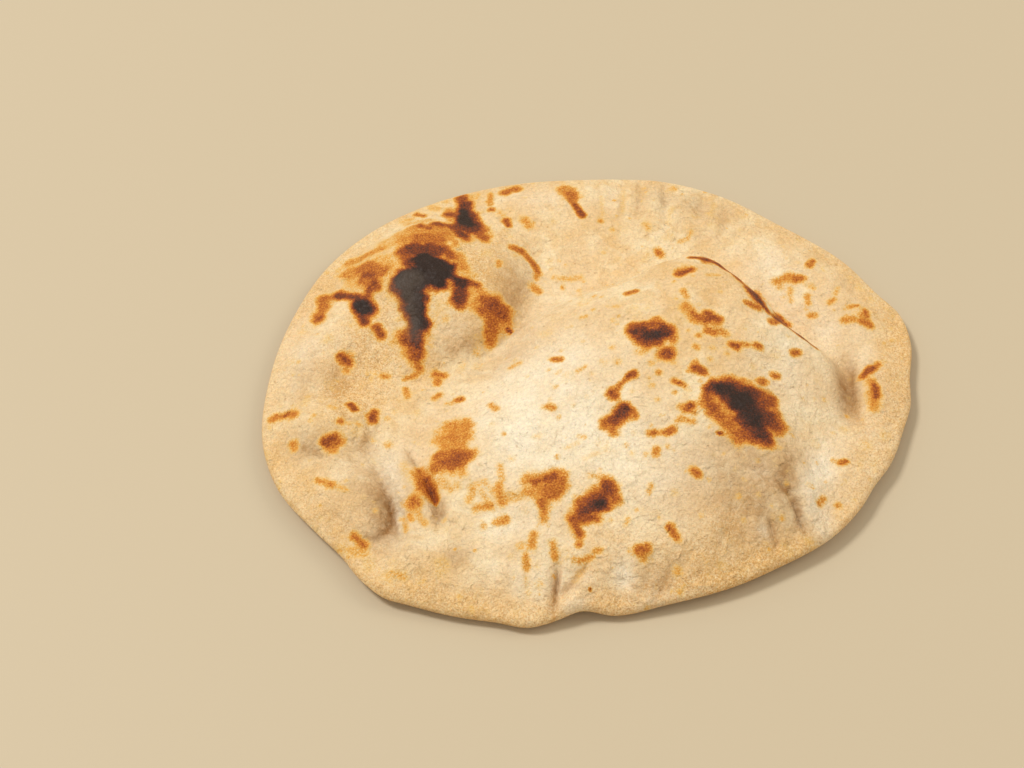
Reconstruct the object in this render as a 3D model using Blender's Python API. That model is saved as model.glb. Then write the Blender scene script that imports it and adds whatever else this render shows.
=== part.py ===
"""A puffed tandoori roti: an oval flatbread whose two thin sheets have blown apart into one
big dome, a broad pillow and a few smaller blisters, with a rounded rim that lifts off the table.

It is one closed solid. Its top is a height field of named blisters, creases and flutes, its
underside lifts towards the rim, and a flat patch in the middle of the underside carries it.
Sizes are in millimetres and angles in degrees, turned from +X (the long way) towards +Y.
"""

import math
from dataclasses import dataclass

import bmesh
import bpy
import numpy as np

MM = 0.001

# Driving dimensions
LENGTH = 271.0  # along X
WIDTH = 234.0  # along Y
RIM_THICK = 4.4  # the two sheets pressed together at the edge
RIM_ROUND = 2.6  # how far in the rounding of the edge reaches
RIM_LIFT = 4.4  # height of the middle of the edge above the table
LEVEL = 9.5  # height of the top where no blister rises
LEVEL_REACH = 20.0  # distance from the edge at which the top has come up to that level
BASE_SHARE = 0.66  # the flat patch underneath, as a share of the outline
BASE_HOLLOW = 1.3  # above 1, the underside stays low for longer before it lifts towards the rim
MELD = 1.8  # how softly neighbouring blisters run into each other
STRAY = 3.0  # how far a blister's outline wanders
STRAY_SIZE = 34.0
MOST_SUNK = 1.2  # how far a crease may sink under the height of the rim
RIM_BLEND = 22.0  # distance from the edge over which the top swells up from the rim
LUMPS = ((0.8, 24.0, 13), (0.3, 9.0, 14))  # unevenness left by hand patting: (height, size, seed)
LATTICE = 64  # the pattern of lumps repeats after this many of them
NOISE_GAIN = 1.5  # brings the lumps up to about 1 high

# Mesh
CELLS = 60  # cells across the top
EDGE_CROWDING = 1.35  # above 1, the rows of cells lie closer together near the rim
UNDER_ROWS = (0.993, 0.978, 0.93, 0.82)  # rows of the underside between edge and flat patch
DRAW_PASSES = 40  # passes that draw the cells together on steep flanks
DRAW_STEP = 0.5  # share of the way that a vertex moves in one pass
DRAW_CLEAR = 10.0  # distance from the rounded edge over which the rows near it stay put

# How far the edge strays from an ellipse of LENGTH by WIDTH: (angle, outward).
SWELLS = (
    (0, -3.2), (9, 2.4), (15, 3.6), (20, 1.0), (30, 0.2), (45, -2.1), (60, 0.7), (75, 0.8), (82, -0.6),
    (90, -1.4), (105, -0.5), (120, 0.3), (135, 0.5), (150, -0.4), (165, -2.6), (180, -1.1), (195, 4.2),
    (204, 5.6), (214, 4.4), (221, 5.0), (227, 8.4), (232, 9.6), (236, 7.6), (243, 5.0), (251, 2.4),
    (257, 2.0), (262, -2.2), (266, -5.8), (273, -5.4), (282, -7.2), (298, -8.0), (307, -8.2), (320, -6.6),
    (328, -7.2), (334, -8.2), (339, -7.0), (349, -5.8), (354, -4.0),
)

# How far the edge rises or drops against RIM_LIFT: (angle, up).
LIFTS = (
    (0, 0.6), (40, 0.3), (75, 1.2), (110, 0.2), (150, 0.8), (190, 0.0), (228, 0.8), (250, -0.6),
    (260, 0.0), (266, 1.6), (272, -0.4), (285, 0.8), (300, 1.2), (330, 2.0), (350, 1.2),
)


@dataclass(frozen=True)
class Blister:
    """A blown-up place: an oval outline, and an apex that need not be in its middle."""

    x: float
    y: float
    long: float  # half-length of its outline
    wide: float  # half-width
    turn: float  # angle of its long axis
    top: float  # height of its apex above the table
    foot: float  # height along its outline
    apex_x: float = 0.0  # apex from the middle, along the long axis as a share of half-length
    apex_y: float = 0.0  # and across it
    fullness: float = 2.0  # 2 is a dome, more is a flatter top with steeper sides
    steep_side: float = 0.0  # side that stands steeper
    steeper: float = 0.0  # fullness that this side adds


@dataclass(frozen=True)
class Crease:
    """A furrow, or with a negative depth a ridge, on a straight line that fades at its ends."""

    x0: float
    y0: float
    x1: float
    y1: float
    depth: float
    width: float
    form: float = 2.0  # 2 is a rounded furrow and 1 a sharp fold
    lean: float = 1.0  # width of its left side, looking along it, as a share of its right side's


# The big dome: its apex, and by direction from the apex how far its foot lies and how full its flank
# is. A fullness of 1 is a cone and 2 a round dome; the far right side is nearly a cliff.
DOME_X = 40.0
DOME_Y = 15.0
DOME_TOP = 34.5
DOME_FOOT = 8.0
DOME_REACH = (
    (2, 48.0), (14, 42.0), (32, 39.0), (50, 41.0), (65, 44.0), (81, 45.0), (101, 43.0), (133, 45.0),
    (157, 60.0), (172, 74.0), (192, 88.0), (204, 112.0), (214, 144.0), (232, 150.0), (252, 140.0),
    (270, 131.0), (294, 110.0), (308, 84.0), (330, 75.0), (343, 73.0), (353, 59.0),
)
DOME_FULLNESS = (
    (0, 3.3), (12, 4.6), (33, 5.4), (65, 5.2), (81, 5.0), (101, 4.2), (133, 3.0), (157, 2.4), (180, 2.2),
    (204, 1.8), (232, 1.7), (270, 1.7), (294, 1.8), (308, 1.9), (330, 2.2), (343, 2.3), (350, 2.6),
)

BLISTERS = (
    # the low swell of the dome's near right shoulder
    Blister(52, -56, 40, 26, -50, top=21.5, foot=7),
    # the pillow at the far left and the lumps on it
    Blister(-68, 48, 47, 46, 18, top=21, foot=8, fullness=2.2, steep_side=-25, steeper=0.4),
    Blister(-80, 46, 24, 22, 40, top=23.5, foot=13),
    Blister(-49, 28, 22, 16, 20, top=18, foot=9),
    Blister(-39, 52, 18, 16, 0, top=16.5, foot=9, steep_side=0, steeper=0.3),
    Blister(-98, 24, 26, 22, 60, top=16.5, foot=8),
    # the smaller ones along the left side
    Blister(-117, 6, 17, 22, 0, top=14, foot=7, steep_side=0, steeper=1.0),
    Blister(-108, -28, 24, 17, 4, top=15.5, foot=7, fullness=2.4),
    Blister(-101, -64, 33, 25, -58, top=17, foot=7, apex_x=0.1, apex_y=0.2, steep_side=-10, steeper=1.6),
    Blister(-68, -92, 32, 20, -22, top=13.5, foot=7),
    # near the right edge, and the low swell between dome and far rim
    Blister(120, -8, 18, 21, 8, top=13.5, foot=7, apex_x=-0.1, steep_side=180, steeper=0.6),
    Blister(103, -42, 28, 40, -24, top=12, foot=7),
    Blister(16, 88, 76, 28, -2, top=12.5, foot=7, fullness=2.2),
    Blister(94, 52, 42, 26, -40, top=12, foot=7, fullness=2.2),
)

CREASES = (
    # gathered into the notch at the near edge
    Crease(-15.6, -96, -17.6, -115, depth=3.4, width=3.0, form=1.3, lean=0.4),
    Crease(-27, -99, -28, -112, depth=1.1, width=2.4, lean=0.6),
    Crease(-22, -94, -22, -103, depth=0.6, width=1.8),
    Crease(-14.5, -105, -5.5, -96, depth=2.0, width=1.4, form=1.3, lean=2.4),
    Crease(-13, -110, -2, -102, depth=-0.8, width=3.4),
    Crease(10, -100, 22, -98, depth=0.9, width=5.0),
    # at the right foot of the dome
    Crease(74, -52, 71, -61, depth=0.9, width=2.6, lean=0.6),
    Crease(71, -61, 76, -69, depth=1.7, width=3.0, form=1.3, lean=0.4),
    Crease(76, -69, 77.5, -73, depth=2.8, width=3.4, form=1.3, lean=0.35),
    Crease(77.5, -73, 76.5, -80, depth=2.2, width=3.4, form=1.3, lean=0.35),
    Crease(81, -66, 82, -78, depth=-1.2, width=3.4),
    Crease(65.5, -76, 68, -85, depth=1.5, width=2.6, form=1.3, lean=0.45),
    Crease(61, -80, 62, -84, depth=-0.8, width=3.0),
    # the pit between the dome and the right edge
    Crease(105, -2, 104, -18, depth=3.0, width=5.0),
    # valley between pillow and dome
    Crease(-22, 60, -30, 28, depth=2.0, width=6.0),
    Crease(-34, 16, -72, -4, depth=2.0, width=6.0),
    # the small fold in front of the left blisters: its ridge, and the furrow on its right
    Crease(-76, -44, -70, -62, depth=-2.2, width=3.8),
    Crease(-72, -42, -66, -56, depth=2.0, width=3.4, form=1.3, lean=0.4),
    Crease(-66, -56, -61.5, -69, depth=2.8, width=3.4, form=1.3, lean=0.4),
    # round the right foot of the blister at the near left
    Crease(-86, -52, -80.5, -68, depth=2.2, width=5.0, form=1.3, lean=0.3),
    Crease(-80.5, -68, -79, -76, depth=3.4, width=5.5, form=1.3, lean=0.25),
    Crease(-79, -76, -85, -83, depth=2.6, width=1.6, form=1.3, lean=0.8),
    Crease(-85, -83, -95, -80, depth=1.2, width=2.2, form=1.4),
    Crease(-73, -72, -74.5, -82, depth=1.2, width=2.6, form=1.3, lean=0.4),
)

# Shallow flutes that run in from the rim: (angle, depth, width).
FLUTES = (
    (62, 0.8, 4.0), (69, 1.2, 4.5), (76, 1.4, 4.5), (83, 1.1, 4.0), (93, 0.7, 4.0), (103, 0.6, 5.0),
    (275, 1.0, 4.0), (284, 0.9, 6.0), (292, 1.1, 4.0), (303, 0.8, 5.0), (309, 0.7, 3.5),
    (236, 0.8, 5.0), (247, 0.6, 4.0), (2, 0.9, 3.0), (150, 0.6, 5.0), (172, 0.6, 5.0), (186, 0.5, 5.0),
)
FLUTE_START = 8.0  # distance from the edge at which a flute is at its deepest
FLUTE_REACH = 34.0  # and how much further in it fades out
CREASE_FADE = 2.0  # a crease fades out beyond its ends over this many of its widths


def between(knots, angle):
    """The value at an angle, on a smooth closed curve through (angle, value) knots."""
    at = np.array([k[0] for k in knots], float)
    value = np.array([k[1] for k in knots], float)
    at = np.concatenate([at[-2:] - 360, at, at[:2] + 360])
    value = np.concatenate([value[-2:], value, value[:2]])
    slope = np.gradient(value, at)
    angle = np.mod(angle, 360)
    i = np.clip(np.searchsorted(at, angle, side="right") - 1, 0, len(at) - 2)
    span = at[i + 1] - at[i]
    t = (angle - at[i]) / span
    return (
        value[i] * (1 + 2 * t) * (1 - t) ** 2
        + value[i + 1] * t**2 * (3 - 2 * t)
        + span * slope[i] * t * (1 - t) ** 2
        + span * slope[i + 1] * t**2 * (t - 1)
    )


def outline(angle):
    """Distance of the edge from the middle."""
    turn = np.radians(angle)
    ellipse = 1 / np.hypot(2 * np.cos(turn) / LENGTH, 2 * np.sin(turn) / WIDTH)
    return ellipse + between(SWELLS, angle)


def noise(x, y, size, seed):
    """Smooth unevenness between about -1 and 1, with lumps of about this size."""
    lean = np.random.default_rng(seed).uniform(0, 2 * math.pi, (LATTICE, LATTICE))
    u = x / size + LATTICE / 2
    v = y / size + LATTICE / 2
    column = np.floor(u).astype(int)
    row = np.floor(v).astype(int)
    total = np.zeros_like(u)
    for right in (0, 1):
        for up in (0, 1):
            du = u - column - right
            dv = v - row - up
            angle = lean[(column + right) % LATTICE, (row + up) % LATTICE]
            weight = ease(1 - abs(du)) * ease(1 - abs(dv))
            total += weight * (np.cos(angle) * du + np.sin(angle) * dv)
    return NOISE_GAIN * total


def ease(share):
    """0 to 1 along an S curve."""
    share = np.clip(share, 0, 1)
    return share * share * (3 - 2 * share)


def blister_height(blister, x, y):
    """Height above the table of a blister's surface, which runs on below its foot outside it."""
    turn = math.radians(blister.turn)
    dx = x - blister.x
    dy = y - blister.y
    u = (dx * math.cos(turn) + dy * math.sin(turn)) / blister.long - blister.apex_x
    v = (dy * math.cos(turn) - dx * math.sin(turn)) / blister.wide - blister.apex_y
    reach = np.maximum(u * u + v * v, 1e-9)
    along = blister.apex_x * u + blister.apex_y * v
    room = 1 - blister.apex_x**2 - blister.apex_y**2
    # share of the way from the apex out to the outline
    share = reach / (np.sqrt(along * along + reach * room) - along)
    towards = np.arctan2(v * blister.wide, u * blister.long) + turn - math.radians(blister.steep_side)
    power = blister.fullness + blister.steeper * np.maximum(np.cos(towards), 0) ** 2
    fall = np.minimum(share, 1) ** power + np.maximum(share - 1, 0) * power
    return blister.foot + (blister.top - blister.foot) * (1 - fall)


def dome_height(x, y):
    """Height above the table of the big dome's surface, which runs on below its foot outside it."""
    dx = x - DOME_X
    dy = y - DOME_Y
    direction = np.degrees(np.arctan2(dy, dx))
    share = np.hypot(dx, dy) / between(DOME_REACH, direction)
    fullness = between(DOME_FULLNESS, direction)
    fall = np.minimum(share, 1) ** fullness + np.maximum(share - 1, 0) * fullness
    return DOME_FOOT + (DOME_TOP - DOME_FOOT) * (1 - fall)


def crease_depth(crease, x, y):
    """How far a crease sinks the surface."""
    run_x = crease.x1 - crease.x0
    run_y = crease.y1 - crease.y0
    run = math.hypot(run_x, run_y)
    along = ((x - crease.x0) * run_x + (y - crease.y0) * run_y) / run
    across = ((y - crease.y0) * run_x - (x - crease.x0) * run_y) / run
    beyond = np.maximum(np.maximum(-along, along - run), 0) / CREASE_FADE
    width = crease.width * np.where(across > 0, crease.lean, 1)
    return crease.depth * np.exp(-((np.hypot(across / width, beyond / crease.width)) ** crease.form))


def furrowed(x, y):
    """How far the creases sink the surface, without adding up where they run into each other."""
    sunk = [crease_depth(crease, x, y) for crease in CREASES]
    return np.maximum(np.max(sunk, axis=0), 0) + np.minimum(np.min(sunk, axis=0), 0)


def flute_depth(inset, angle, edge):
    """How far the flutes sink the surface, fading away from the rim."""
    depth = np.zeros_like(angle)
    for at, deep, width in FLUTES:
        off = np.radians((angle - at + 180) % 360 - 180) * edge
        depth += deep * np.exp(-((off / width) ** 2))
    return depth * ease(inset / FLUTE_START) * ease(1 - (inset - FLUTE_START) / FLUTE_REACH)


def rounding(inset):
    """0 at the very edge, 1 where its rounding ends."""
    return np.sqrt(1 - (1 - np.clip(inset / RIM_ROUND, 0, 1)) ** 2)


def top_height(x, y):
    """Height of the top above the table."""
    angle = np.degrees(np.arctan2(y, x))
    edge = outline(angle)
    inset = np.maximum(edge - np.hypot(x, y), 0)
    rim = RIM_LIFT + between(LIFTS, angle) + RIM_THICK / 2 * rounding(inset)
    ground = rim + (LEVEL - rim) * ease(inset / LEVEL_REACH)
    wander_x = x + STRAY * noise(x, y, STRAY_SIZE, 11)
    wander_y = y + STRAY * noise(x, y, STRAY_SIZE, 12)
    heaped = np.exp(ground / MELD)
    heaped += np.exp(np.maximum(dome_height(wander_x, wander_y), 0) / MELD)
    for blister in BLISTERS:
        heaped += np.exp(np.maximum(blister_height(blister, wander_x, wander_y), 0) / MELD)
    above = MELD * np.log(heaped) - rim
    above -= furrowed(x, y)
    above -= flute_depth(inset, angle, edge)
    for height, size, seed in LUMPS:
        above += height * noise(x, y, size, seed)
    # never sinks far under the line of the rim, and meets it at the edge
    above = MOST_SUNK * np.logaddexp(0, above / MOST_SUNK + 1) - MOST_SUNK
    return rim + above * np.sin(math.pi / 2 * np.clip(inset / RIM_BLEND, 0, 1))


def under_height(x, y):
    """Height of the underside, which is 0 over the flat patch."""
    angle = np.degrees(np.arctan2(y, x))
    share = np.hypot(x, y) / outline(angle)
    inset = np.maximum(1 - share, 0) * outline(angle)
    edge = RIM_LIFT + between(LIFTS, angle)
    rise = ease((share - BASE_SHARE) / (1 - BASE_SHARE)) ** BASE_HOLLOW
    return np.maximum((edge - RIM_THICK / 2 * rounding(inset)) * rise, 0)


def disc_place(u, v):
    """Share of the outline and angle for a point of the square from -1 to 1, ring by ring."""
    share = max(abs(u), abs(v))
    if share == 0:
        return 0.0, 0.0
    if abs(u) > abs(v):
        angle = 45 * v / u + (180 if u < 0 else 0)
    else:
        angle = 90 - 45 * u / v + (180 if v < 0 else 0)
    return 1 - (1 - share) ** EDGE_CROWDING, angle


def place(verts, x, y, height):
    """Puts vertices at plan places, in millimetres, at the height that a function gives there."""
    for vert, *spot in zip(verts, x, y, height(x, y)):
        vert.co = [MM * value for value in spot]


def spread_top(bm):
    """A square grid spread over the outline, ring by ring, at the height of the top."""
    bmesh.ops.create_grid(bm, x_segments=CELLS, y_segments=CELLS, size=1)
    share, angle = np.array([disc_place(vert.co.x, vert.co.y) for vert in bm.verts]).T
    reach = share * outline(angle)
    place(bm.verts, reach * np.cos(np.radians(angle)), reach * np.sin(np.radians(angle)), top_height)


def draw_together(bm):
    """Slides the vertices of the top towards steep places, so that a cliff gets as many as level ground."""
    bm.verts.index_update()
    ends = np.array([[vert.index for vert in edge.verts] for edge in bm.edges])
    ends = np.concatenate([ends, ends[:, ::-1]])
    for _ in range(DRAW_PASSES):
        spots = np.array([vert.co for vert in bm.verts]) / MM
        pull = np.linalg.norm(spots[ends[:, 0]] - spots[ends[:, 1]], axis=1)
        total = np.bincount(ends[:, 0], pull, len(spots))
        x = np.bincount(ends[:, 0], pull * spots[ends[:, 1], 0], len(spots)) / total
        y = np.bincount(ends[:, 0], pull * spots[ends[:, 1], 1], len(spots)) / total
        inset = outline(np.degrees(np.arctan2(spots[:, 1], spots[:, 0]))) - np.hypot(spots[:, 0], spots[:, 1])
        step = DRAW_STEP * ease((inset - RIM_ROUND) / DRAW_CLEAR)
        x = spots[:, 0] + step * (x - spots[:, 0])
        y = spots[:, 1] + step * (y - spots[:, 1])
        place(bm.verts, x, y, top_height)


def add_underside(bm):
    """Rows of faces from the edge in to the flat patch, and the patch itself."""
    rim = [edge for edge in bm.edges if edge.is_boundary]
    before = 1.0
    for share in (*UNDER_ROWS, BASE_SHARE):
        made = bmesh.ops.extrude_edge_only(bm, edges=rim)["geom"]
        rim = [item for item in made if isinstance(item, bmesh.types.BMEdge)]
        row = [item for item in made if isinstance(item, bmesh.types.BMVert)]
        x, y, _ = np.array([vert.co for vert in row]).T / MM * share / before
        place(row, x, y, under_height)
        before = share
    bmesh.ops.contextual_create(bm, geom=rim)


def stand_on_base(bm):
    """Moves the mesh so that the middle of its box, at the bottom, is the origin."""
    spots = np.array([vert.co for vert in bm.verts])
    low = spots.min(axis=0)
    high = spots.max(axis=0)
    middle = (low + high) / 2
    bmesh.ops.translate(bm, verts=bm.verts, vec=(-middle[0], -middle[1], -low[2]))


def crust():
    """Baked wheat dough: matt, cream to gold."""
    material = bpy.data.materials.new("baked_crust")
    material.use_nodes = True
    shader = material.node_tree.nodes["Principled BSDF"]
    shader.inputs["Base Color"].default_value = (0.72, 0.53, 0.31, 1)
    shader.inputs["Roughness"].default_value = 0.78
    shader.inputs["Metallic"].default_value = 0.0
    return material


def make_roti():
    """The bread as one closed mesh object."""
    bm = bmesh.new()
    spread_top(bm)
    draw_together(bm)
    add_underside(bm)
    stand_on_base(bm)
    bmesh.ops.recalc_face_normals(bm, faces=bm.faces)
    bmesh.ops.triangulate(bm, faces=bm.faces)
    mesh = bpy.data.meshes.new("roti")
    bm.to_mesh(mesh)
    bm.free()
    mesh.shade_smooth()
    mesh.set_sharp_from_angle(angle=math.radians(60))
    mesh.materials.append(crust())
    bpy.context.scene.collection.objects.link(bpy.data.objects.new("roti", mesh))


def main():
    for old in list(bpy.data.objects):
        bpy.data.objects.remove(old, do_unlink=True)
    make_roti()


if __name__ == "__main__":
    main()
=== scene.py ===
"""Looks of a puffed tandoori roti: a fine mesh of the bread with its toasted crust, on a plain table.

The bread is one piece. Dough gives its form, the same one that the solid has, CrustRelief adds what
is too fine for the solid, Toasting says how far each place is baked and where shade and light are
painted on it, and BakedCrust turns that into a material. Roti puts them together, and Studio holds
the table top, the lights and the camera.
Sizes are in millimetres and angles in degrees, turned from +X (the long way) towards +Y.
"""

import logging
import math
from dataclasses import dataclass
from enum import Enum

import bmesh
import bpy
import numpy as np
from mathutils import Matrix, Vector


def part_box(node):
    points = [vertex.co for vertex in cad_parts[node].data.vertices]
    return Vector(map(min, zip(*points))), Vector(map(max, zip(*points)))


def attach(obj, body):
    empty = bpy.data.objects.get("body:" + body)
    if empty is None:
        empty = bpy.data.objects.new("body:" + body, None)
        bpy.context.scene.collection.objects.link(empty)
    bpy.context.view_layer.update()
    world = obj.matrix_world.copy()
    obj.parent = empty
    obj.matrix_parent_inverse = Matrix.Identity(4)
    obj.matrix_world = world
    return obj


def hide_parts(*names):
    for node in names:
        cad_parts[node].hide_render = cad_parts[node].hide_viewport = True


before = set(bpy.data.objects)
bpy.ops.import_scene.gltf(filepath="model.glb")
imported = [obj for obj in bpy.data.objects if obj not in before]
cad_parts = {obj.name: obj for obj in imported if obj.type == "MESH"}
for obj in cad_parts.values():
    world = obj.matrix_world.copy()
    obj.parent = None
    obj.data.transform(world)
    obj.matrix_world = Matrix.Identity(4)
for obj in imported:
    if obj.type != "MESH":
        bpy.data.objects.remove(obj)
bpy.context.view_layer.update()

MM = 0.001
BODY = "root"
NODE = "roti"

Array = np.ndarray
Knots = tuple[tuple[float, float], ...]
Layers = tuple[tuple[float, float, int], ...]  # noises laid together: (height, size of the lumps, seed)
Setting = str | int | float | bool
Value = float | tuple[float, ...] | bpy.types.NodeSocket

log = logging.getLogger("roti")


def linear(colour: str) -> tuple[float, float, float, float]:
    """Turns an sRGB colour into the linear one that a shader takes.

    Args:
        colour: sRGB hex value, such as "#F6DDB2".

    Returns:
        Linear red, green, blue and an alpha of 1.
    """
    parts = [int(colour[i : i + 2], 16) / 255 for i in (1, 3, 5)]
    red, green, blue = (c / 12.92 if c <= 0.04045 else ((c + 0.055) / 1.055) ** 2.4 for c in parts)
    return red, green, blue, 1.0


def add(
    tree: bpy.types.NodeTree,
    kind: str,
    settings: dict[str, Setting],
    inputs: dict[str | int, Value],
) -> bpy.types.Node:
    """Adds one shader node with its settings and what goes into it.

    Args:
        tree: node tree that takes the node.
        kind: the node's type, such as "ShaderNodeMath".
        settings: values for the node's own properties, by name.
        inputs: for each input, by name or number, a socket to link or a value to set.

    Returns:
        The new node.
    """
    node = tree.nodes.new(kind)
    for name, value in settings.items():
        setattr(node, name, value)
    for name, value in inputs.items():
        if isinstance(value, bpy.types.NodeSocket):
            tree.links.new(value, node.inputs[name])
        else:
            node.inputs[name].default_value = value
    return node


def per_metre(size: float) -> float:
    """A texture's scale, in repeats for each metre, from its size in millimetres."""
    return 1000 / size


def ease(share: Array) -> Array:
    """Runs from 0 to 1 along an S curve."""
    share = np.clip(share, 0, 1)
    return share * share * (3 - 2 * share)


def between(knots: Knots, angle: Array) -> Array:
    """Reads a smooth closed curve through knots.

    Args:
        knots: (angle, value) pairs, by rising angle.
        angle: where to read the curve.

    Returns:
        The curve's value at each angle.
    """
    at = np.array([k[0] for k in knots], float)
    value = np.array([k[1] for k in knots], float)
    at = np.concatenate([at[-2:] - 360, at, at[:2] + 360])
    value = np.concatenate([value[-2:], value, value[:2]])
    slope = np.gradient(value, at)
    angle = np.mod(angle, 360)
    i = np.clip(np.searchsorted(at, angle, side="right") - 1, 0, len(at) - 2)
    span = at[i + 1] - at[i]
    t = (angle - at[i]) / span
    return (
        value[i] * (1 + 2 * t) * (1 - t) ** 2
        + value[i + 1] * t**2 * (3 - 2 * t)
        + span * slope[i] * t * (1 - t) ** 2
        + span * slope[i + 1] * t**2 * (t - 1)
    )


LATTICE = 64  # the pattern of lumps repeats after this many of them
NOISE_GAIN = 1.5  # brings the lumps up to about 1 high


def noise(x: Array, y: Array, size: float, seed: int) -> Array:
    """Smooth unevenness between about -1 and 1.

    Args:
        x: places along the bread.
        y: places across it.
        size: the size of its lumps.
        seed: another seed gives another pattern.

    Returns:
        The unevenness at each place.
    """
    lean = np.random.default_rng(seed).uniform(0, 2 * math.pi, (LATTICE, LATTICE))
    u = x / size + LATTICE / 2
    v = y / size + LATTICE / 2
    column = np.floor(u).astype(int)
    row = np.floor(v).astype(int)
    total = np.zeros_like(u)
    for right in (0, 1):
        for up in (0, 1):
            du = u - column - right
            dv = v - row - up
            angle = lean[(column + right) % LATTICE, (row + up) % LATTICE]
            weight = ease(1 - abs(du)) * ease(1 - abs(dv))
            total += weight * (np.cos(angle) * du + np.sin(angle) * dv)
    return NOISE_GAIN * total


def layered(layers: Layers, x: Array, y: Array) -> Array:
    """Adds up noises of several sizes.

    Args:
        layers: the noises.
        x: places along the bread.
        y: places across it.

    Returns:
        Their sum at each place.
    """
    return sum(height * noise(x, y, size, seed) for height, size, seed in layers)


# --- the form ---------------------------------------------------------------------------------------


@dataclass(frozen=True)
class Blister:
    """A blown-up place: an oval outline, and an apex that need not be in its middle."""

    x: float
    y: float
    long: float  # half-length of its outline
    wide: float  # half-width
    turn: float  # angle of its long axis
    top: float  # height of its apex above the table
    foot: float  # height along its outline
    apex_x: float = 0.0  # apex from the middle, along the long axis as a share of half-length
    apex_y: float = 0.0  # and across it
    fullness: float = 2.0  # 2 is a dome, more is a flatter top with steeper sides
    steep_side: float = 0.0  # side that stands steeper
    steeper: float = 0.0  # fullness that this side adds

    def height(self, x: Array, y: Array) -> Array:
        """Height above the table of the blister, which runs on below its foot outside it.

        Args:
            x: places along the bread.
            y: places across it.

        Returns:
            The height at each place.
        """
        turn = math.radians(self.turn)
        dx = x - self.x
        dy = y - self.y
        u = (dx * math.cos(turn) + dy * math.sin(turn)) / self.long - self.apex_x
        v = (dy * math.cos(turn) - dx * math.sin(turn)) / self.wide - self.apex_y
        reach = np.maximum(u * u + v * v, 1e-9)
        along = self.apex_x * u + self.apex_y * v
        room = 1 - self.apex_x**2 - self.apex_y**2
        # share of the way from the apex out to the outline
        share = reach / (np.sqrt(along * along + reach * room) - along)
        towards = np.arctan2(v * self.wide, u * self.long) + turn - math.radians(self.steep_side)
        power = self.fullness + self.steeper * np.maximum(np.cos(towards), 0) ** 2
        fall = np.minimum(share, 1) ** power + np.maximum(share - 1, 0) * power
        return self.foot + (self.top - self.foot) * (1 - fall)


@dataclass(frozen=True)
class Dome:
    """The big dome, by direction from its apex: how far its foot lies and how full its flank is."""

    reach: Knots
    fullness: Knots  # 1 is a cone and 2 a round dome
    x: float = 40.0
    y: float = 15.0
    top: float = 34.5
    foot: float = 8.0

    def height(self, x: Array, y: Array) -> Array:
        """Height above the table of the dome, which runs on below its foot outside it.

        Args:
            x: places along the bread.
            y: places across it.

        Returns:
            The height at each place.
        """
        dx = x - self.x
        dy = y - self.y
        direction = np.degrees(np.arctan2(dy, dx))
        share = np.hypot(dx, dy) / between(self.reach, direction)
        fullness = between(self.fullness, direction)
        fall = np.minimum(share, 1) ** fullness + np.maximum(share - 1, 0) * fullness
        return self.foot + (self.top - self.foot) * (1 - fall)


CREASE_FADE = 2.0  # a crease fades out beyond its ends over this many of its widths
ROUNDED = 2.0  # form of a rounded crease, while 1 is a sharp fold


@dataclass(frozen=True)
class Crease:
    """A furrow, or with a negative depth a ridge, on a straight line that fades at its ends."""

    x0: float
    y0: float
    x1: float
    y1: float
    depth: float
    width: float
    form: float = ROUNDED
    lean: float = 1.0  # width of its left side, looking along it, as a share of its right side's

    def sinks(self, x: Array, y: Array) -> Array:
        """How far the crease sinks the surface.

        Args:
            x: places along the bread.
            y: places across it.

        Returns:
            The depth at each place.
        """
        run_x = self.x1 - self.x0
        run_y = self.y1 - self.y0
        run = math.hypot(run_x, run_y)
        along = ((x - self.x0) * run_x + (y - self.y0) * run_y) / run
        across = ((y - self.y0) * run_x - (x - self.x0) * run_y) / run
        beyond = np.maximum(np.maximum(-along, along - run), 0) / CREASE_FADE
        width = self.width * np.where(across > 0, self.lean, 1)
        return self.depth * np.exp(-((np.hypot(across / width, beyond / self.width)) ** self.form))


def furrowed(creases: tuple[Crease, ...], x: Array, y: Array) -> Array:
    """How far creases sink the surface where they run into each other without adding up.

    Args:
        creases: furrows and ridges.
        x: places along the bread.
        y: places across it.

    Returns:
        The depth at each place.
    """
    sunk = [crease.sinks(x, y) for crease in creases]
    return np.maximum(np.max(sunk, axis=0), 0) + np.minimum(np.min(sunk, axis=0), 0)


# How far the edge strays from an ellipse of length by width: (angle, outward).
SWELLS = (
    (0, -3.2), (9, 2.4), (15, 3.6), (20, 1.0), (30, 0.2), (45, -2.1), (60, 0.7), (75, 0.8), (82, -0.6),
    (90, -1.4), (105, -0.5), (120, 0.3), (135, 0.5), (150, -0.4), (165, -2.6), (180, -1.1), (195, 4.2),
    (204, 5.6), (214, 4.4), (221, 5.0), (227, 8.4), (232, 9.6), (236, 7.6), (243, 5.0), (251, 2.4),
    (257, 2.0), (262, -2.2), (266, -5.8), (273, -5.4), (282, -7.2), (298, -8.0), (307, -8.2), (320, -6.6),
    (328, -7.2), (334, -8.2), (339, -7.0), (349, -5.8), (354, -4.0),
)

# How far the edge rises or drops against the rim's own lift: (angle, up).
LIFTS = (
    (0, 0.6), (40, 0.3), (75, 1.2), (110, 0.2), (150, 0.8), (190, 0.0), (228, 0.8), (250, -0.6),
    (260, 0.0), (266, 1.6), (272, -0.4), (285, 0.8), (300, 1.2), (330, 2.0), (350, 1.2),
)

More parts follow.
